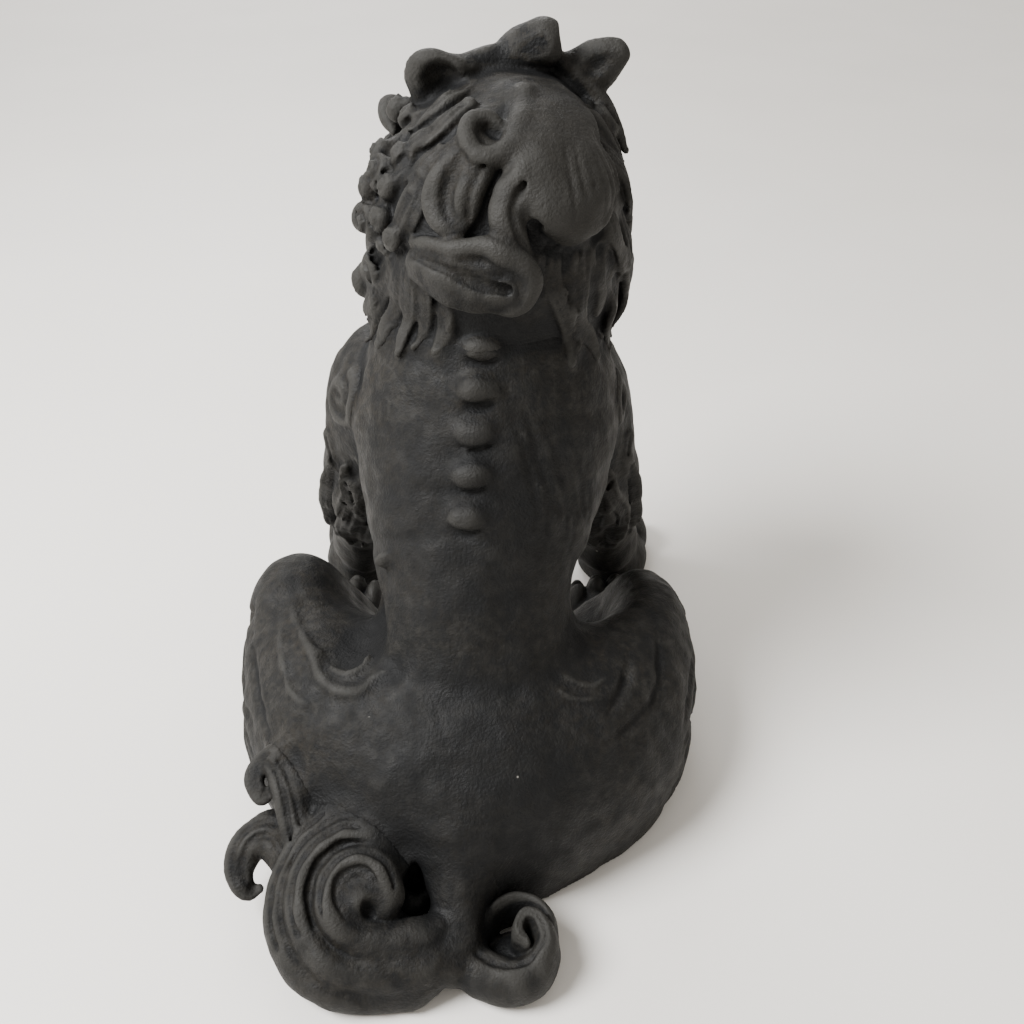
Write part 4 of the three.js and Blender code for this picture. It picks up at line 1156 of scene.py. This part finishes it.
def casting(name, low, high, step, own, others, finish=None):
    """Models one piece in its own block of clay, with the neighbours that it blends into."""
    clay = Clay(low, high, step)
    mine = clay.model(own)
    whole = mine.copy()
    rest = clay.blank()
    for steps, blend in others:
        other = clay.model(steps)
        whole = smooth_min(whole, other, blend)
        rest = np.minimum(rest, other)
    z = clay.places[2]
    whole = whole + unevenness(clay)
    # Above the neck's seat the body takes nothing from the head
    if name == "head_casting":
        rest = np.where(z > NECK_SEAT_Z - 2 * OVERLAP, FAR, rest)
    field = np.maximum(whole, (mine - rest - OVERLAP) / 2)
    if finish:
        field = finish(clay, field)
    pieces[name] = mesh_piece(name, clay, np.maximum(field, -z), whole)


def lion_box(name):
    return [np.array(corner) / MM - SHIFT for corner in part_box(name)]


def fixing_bars(name):
    """The seat boss and the stud's bore of one fixing, read from where its washer and stud lie."""
    washer_from, washer_to = lion_box(name + "_washer")
    stud_from, stud_to = lion_box(name + "_stud")
    half = (stud_to - stud_from) / 2
    axis = int(np.argmax(half))
    middle = (stud_from + stud_to) / 2
    washer = (washer_from + washer_to) / 2
    outward = np.sign(middle[axis] - washer[axis]) * np.eye(3)[axis]
    face = washer + outward * (washer_to - washer_from)[axis] / 2
    start = middle - outward * (half[axis] + BORE_RUN)
    end = middle + outward * (half[axis] + BORE_PLAY)
    bore = Bar(start, end, half[(axis + 1) % 3] + BORE_PLAY)
    return Bar(face, face + outward * SEAT_LONG, SEAT_RADIUS), bore


BODY_FIXINGS = ("tail", "left_foreleg", "right_foreleg", "left_hind_paw", "right_hind_paw")
NECK_SEAT = np.array([NECK.at[0], NECK.at[1], NECK_SEAT_Z])


def hollowed(clay, field):
    """The body's hollow, with its fixing seats, bores and flat neck seat."""
    plain = clay.model(plain_body())
    z = clay.places[2]
    hollow = np.maximum(np.maximum(plain + WALL, field + THINNEST), z - (NECK_SEAT_Z - NECK_PLATE))
    bores = [Bar(NECK_SEAT - UP * 2 * NECK_PLATE, NECK_SEAT + UP, SPIGOT_RADIUS + BORE_PLAY)]
    for name in BODY_FIXINGS:
        seat, bore = fixing_bars(name)
        clay.press(hollow, seat, SEAT_SOFT, CUT)
        bores.append(bore)
    field = np.maximum(np.maximum(field, -hollow), z - NECK_SEAT_Z)
    for bore in bores:
        clay.press(field, bore, 0, CUT)
    return field


def bored(name):
    def finish(clay, field):
        clay.press(field, fixing_bars(name)[1], 0, CUT)
        return field
    return finish


def spigoted(clay, field):
    """The head's spigot, which enters the body's neck, and the bore of its stud."""
    clay.press(field, Bar(NECK_SEAT - UP * NECK_PLATE, NECK_SEAT + UP * WALL, SPIGOT_RADIUS), 0, ADD)
    return bored("neck")(clay, field)


body = body_steps()
head = list(head_steps())
forelegs = {side: list(foreleg_steps(side)) for side in (LEFT, RIGHT)}
hind_paws = {side: list(hind_paw_steps(side)) for side in (LEFT, RIGHT)}
plume = list(plume_steps())
scroll = list(scroll_steps())
ears = {name: list(ear_steps(ear)) for name, ear in EARS.items()}
horn = list(horn_steps())
crown = [(steps, SMALL_BLEND) for steps in (*ears.values(), horn)]
legs = [(steps, LEG_BLEND) for steps in (*forelegs.values(), *hind_paws.values())]

# Each casting's block of clay with its grid step, its own forms and the neighbours it blends into
casting("body_casting", low=(-88, -76, -3), high=(94, 108, 176), step=1.25, own=body, finish=hollowed,
        others=legs + [(head, NECK_BLEND), (plume, TAIL_BLEND), (scroll, SCROLL_BLEND)])
casting("head_casting", low=(-62, -108, 112), high=(54, 26, 248), step=0.8, own=head, finish=spigoted,
        others=[(body, NECK_BLEND)] + crown)
casting("tail_plume", low=(-14, 58, -3), high=(92, 140, 56), step=0.75, own=plume, finish=bored("tail"),
        others=[(body, TAIL_BLEND), (scroll, SMALL_BLEND)])
casting("tail_scroll", low=(-38, 80, -3), high=(16, 136, 28), step=0.6, own=scroll,
        others=[(plume, SMALL_BLEND), (body, SCROLL_BLEND)])
casting("horn", low=(-45, -75, 210), high=(25, -15, 255), step=0.5, own=horn, others=[(head, SMALL_BLEND)])
EAR_MARGIN = 14
for name, ear in EARS.items():
    casting(name, low=ear.at.min(0) - EAR_MARGIN, high=ear.at.max(0) + EAR_MARGIN, step=0.55,
            own=ears[name], others=[(head, SMALL_BLEND)])
for side, word in ((LEFT, "left"), (RIGHT, "right")):
    name = word + "_foreleg"
    inner, outer = sorted((side * 18, side * 82))
    casting(name, low=(inner, -126, -3), high=(outer, 8, 158), step=0.85, own=forelegs[side],
            others=[(body, LEG_BLEND), (head, NECK_BLEND)], finish=bored(name))
    name = word + "_hind_paw"
    inner, outer = sorted((HAUNCH_SHIFT + side * 34, HAUNCH_SHIFT + side * 82))
    casting(name, low=(inner, -86, -3), high=(outer, -8, 40), step=0.8, own=hind_paws[side],
            others=[(body, LEG_BLEND)], finish=bored(name))


# Materials

def new_material(name):
    material = bpy.data.materials.new(name)
    material.use_nodes = True
    return material, material.node_tree, material.node_tree.nodes["Principled BSDF"]


def node(tree, kind, **settings):
    made = tree.nodes.new(kind)
    for key, value in settings.items():
        target = made.inputs.get(key.replace("_", " "))
        if target is not None:
            target.default_value = value
        else:
            setattr(made, key, value)
    return made


def place_of(tree):
    place = tree.nodes.get("Place") or node(tree, "ShaderNodeTexCoord", name="Place")
    return place.outputs["Object"]


def noise(tree, scale, detail, roughness=0.55):
    made = node(tree, "ShaderNodeTexNoise", Scale=scale, Detail=detail, Roughness=roughness)
    tree.links.new(place_of(tree), made.inputs["Vector"])
    return made.outputs["Fac"]


def ramp(tree, source, *stops):
    made = node(tree, "ShaderNodeValToRGB")
    elements = made.color_ramp.elements
    for element, (place, colour) in zip(elements, stops):
        element.position = place
        element.color = (*colour, 1) if hasattr(colour, "__len__") else (colour, colour, colour, 1)
    tree.links.new(source, made.inputs["Fac"])
    return made.outputs["Color"]


# Sockets of the mix node when it mixes colours
MIX_SHARE, MIX_A, MIX_B, MIX_RESULT = 0, 6, 7, 2


def mixed(tree, share, a, b, mode="MIX"):
    made = node(tree, "ShaderNodeMix", data_type="RGBA", blend_type=mode)
    for place, value in ((MIX_SHARE, share), (MIX_A, a), (MIX_B, b)):
        socket = made.inputs[place]
        if hasattr(value, "is_output"):
            tree.links.new(value, socket)
        else:
            socket.default_value = (*value, 1) if hasattr(value, "__len__") else value
    return made.outputs[MIX_RESULT]


def attribute(tree, name):
    return node(tree, "ShaderNodeAttribute", attribute_name=name).outputs["Fac"]


def bumped(tree, shader, height, strength, distance):
    bump = node(tree, "ShaderNodeBump", Strength=strength, Distance=distance)
    tree.links.new(height, bump.inputs["Height"])
    tree.links.new(bump.outputs["Normal"], shader.inputs["Normal"])


CHARCOAL = (0.0074, 0.0070, 0.0060)
# Soot black: random mottling, and also the painted shade in hollows and on the rump and the back
SOOT_AND_SHADE = (0.0028, 0.0030, 0.0033)
BROWN = (0.0125, 0.0104, 0.0076)
# Worn grey: random wear flecks, and also the painted sheen on the crown's lobe
WORN_AND_SHEEN = (0.020, 0.0188, 0.0165)
# Lighter tone of ridges: edge wear, and also a painted highlight
RIDGE = (0.0225, 0.0217, 0.0197)
SPECK = (0.55, 0.53, 0.48)

# Layers of colour over the charcoal, from the bottom up. A noise (scale, detail and roughness) or a mark on
# the mesh drives each; then how much of the layer shows at two values of that, and its colour.
IRON_LAYERS = [
    ((38, 5, 0.55), (0.38, 0.0), (0.66, 1.0), BROWN),
    ((420, 3, 0.55), (0.35, 0.0), (0.7, 1.0), SOOT_AND_SHADE),
    ((300, 6, 0.65), (0.48, 0.0), (0.64, 0.7), WORN_AND_SHEEN),
    ((85, 6, 0.68), (0.48, 0.0), (0.64, 0.85), SOOT_AND_SHADE),
    # Painted shade: the rump and the back are darkened towards their middles
    ("painted_shade", (0.0, 0.0), (0.6, 0.7), SOOT_AND_SHADE),
    # Painted sheen: the lobe on the crown is lightened
    ("painted_sheen", (0.0, 0.0), (0.6, 0.7), WORN_AND_SHEEN),
    # Edge wear and painted highlight: the ridges are lightened
    ("edge", (0.57, 0.0), (0.85, 1.0), RIDGE),
    # Painted shade: the hollows are darkened
    ("hollow", (0.36, 1.0), (0.465, 0.0), SOOT_AND_SHADE),
]


def iron_material():
    material, tree, shader = new_material("black_iron")
    colour = CHARCOAL
    for driver, first, last, tone in IRON_LAYERS:
        source = attribute(tree, driver) if isinstance(driver, str) else noise(tree, *driver)
        colour = mixed(tree, ramp(tree, source, first, last), colour, tone)
    specks = node(tree, "ShaderNodeTexVoronoi", Scale=95.0)
    tree.links.new(place_of(tree), specks.inputs["Vector"])
    dots = ramp(tree, specks.outputs["Distance"], (0.035, 1.0), (0.06, 0.0))
    sparse = ramp(tree, noise(tree, 23, 2), (0.62, 0.0), (0.66, 1.0))
    colour = mixed(tree, mixed(tree, 1.0, dots, sparse, "MULTIPLY"), colour, SPECK)
    tree.links.new(colour, shader.inputs["Base Color"])
    rough = ramp(tree, noise(tree, 160, 4), (0.3, 0.55), (0.75, 0.8))
    tree.links.new(rough, shader.inputs["Roughness"])
    shader.inputs["Specular IOR Level"].default_value = 0.2
    grain = mixed(tree, 0.5, noise(tree, 1100, 3), noise(tree, 380, 6))
    bumped(tree, shader, grain, strength=0.65, distance=0.0011)
    return material


GREY_STEEL = (0.16, 0.155, 0.15)
RUST = (0.09, 0.055, 0.035)


def steel_material():
    material, tree, shader = new_material("dark_steel")
    stains = ramp(tree, noise(tree, 220, 5), (0.4, GREY_STEEL), (0.68, RUST))
    tree.links.new(stains, shader.inputs["Base Color"])
    rough = ramp(tree, noise(tree, 500, 3), (0.3, 0.35), (0.7, 0.6))
    tree.links.new(rough, shader.inputs["Roughness"])
    shader.inputs["Metallic"].default_value = 0.85
    bumped(tree, shader, noise(tree, 900, 3), strength=0.2, distance=0.0003)
    return material


iron = iron_material()
steel = steel_material()
for name, piece in pieces.items():
    piece.data.materials.append(iron)
    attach(piece, "root")
    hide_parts(name)
for name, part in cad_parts.items():
    part.data.materials.clear()
    part.data.materials.append(iron if name in pieces else steel)


# Floor, light and camera

FLOOR_HALF = 3.0
FLOOR_DARK = (0.81, 0.785, 0.745)
FLOOR_LIGHT = (0.84, 0.815, 0.775)
ROOM_COLOUR = (1.0, 0.95, 0.88, 1)
ROOM_STRENGTH = 0.76

# Lights: the way each comes from, how far off and how wide in metres, and watts
LIGHTS = {
    "window": ((0.62, 0.22, 0.75), 1.1, 0.6, 34),
    "room": ((0.2, -0.85, 0.5), 3.2, 2.0, 60),
}
LIGHT_AIM = Vector((0, 0, 0.1))


def looking(way):
    """The turn of a lamp or camera that looks along a way."""
    return way.to_track_quat("-Z", "Y").to_euler()


def floor_material():
    material, tree, shader = new_material("pale_floor")
    tone = ramp(tree, noise(tree, 6, 2), (0.3, FLOOR_DARK), (0.7, FLOOR_LIGHT))
    tree.links.new(tone, shader.inputs["Base Color"])
    shader.inputs["Roughness"].default_value = 0.5
    return material


floor_mesh = bpy.data.meshes.new("floor")
floor_corners = [(x * FLOOR_HALF, y * FLOOR_HALF, 0) for x, y in ((-1, -1), (1, -1), (1, 1), (-1, 1))]
floor_mesh.from_pydata(floor_corners, [], [(0, 1, 2, 3)])
floor = bpy.data.objects.new("floor", floor_mesh)
floor.data.materials.append(floor_material())
bpy.context.scene.collection.objects.link(floor)

world = bpy.data.worlds.new("studio")
bpy.context.scene.world = world
world.use_nodes = True
world.node_tree.nodes["Background"].inputs["Color"].default_value = ROOM_COLOUR
world.node_tree.nodes["Background"].inputs["Strength"].default_value = ROOM_STRENGTH

for name, (source, far, size, watts) in LIGHTS.items():
    lamp = bpy.data.lights.new(name, "AREA")
    lamp.shape = "DISK"
    lamp.size = size
    lamp.energy = watts
    holder = bpy.data.objects.new(name, lamp)
    way = Vector(unit(source))
    holder.location = LIGHT_AIM + way * far
    holder.rotation_euler = looking(-way)
    bpy.context.scene.collection.objects.link(holder)

camera = bpy.data.cameras.new("camera")
camera.sensor_width = SENSOR
camera.lens = SENSOR * FOCAL_PIXELS / PICTURE_PIXELS
viewer = bpy.data.objects.new("camera", camera)
viewer.location = Vector((np.array(CAMERA_AT) + SHIFT) * MM)
viewer.rotation_euler = looking(Vector((0, -cos(CAMERA_TILT), -sin(CAMERA_TILT))))
bpy.context.scene.collection.objects.link(viewer)
bpy.context.scene.camera = viewer
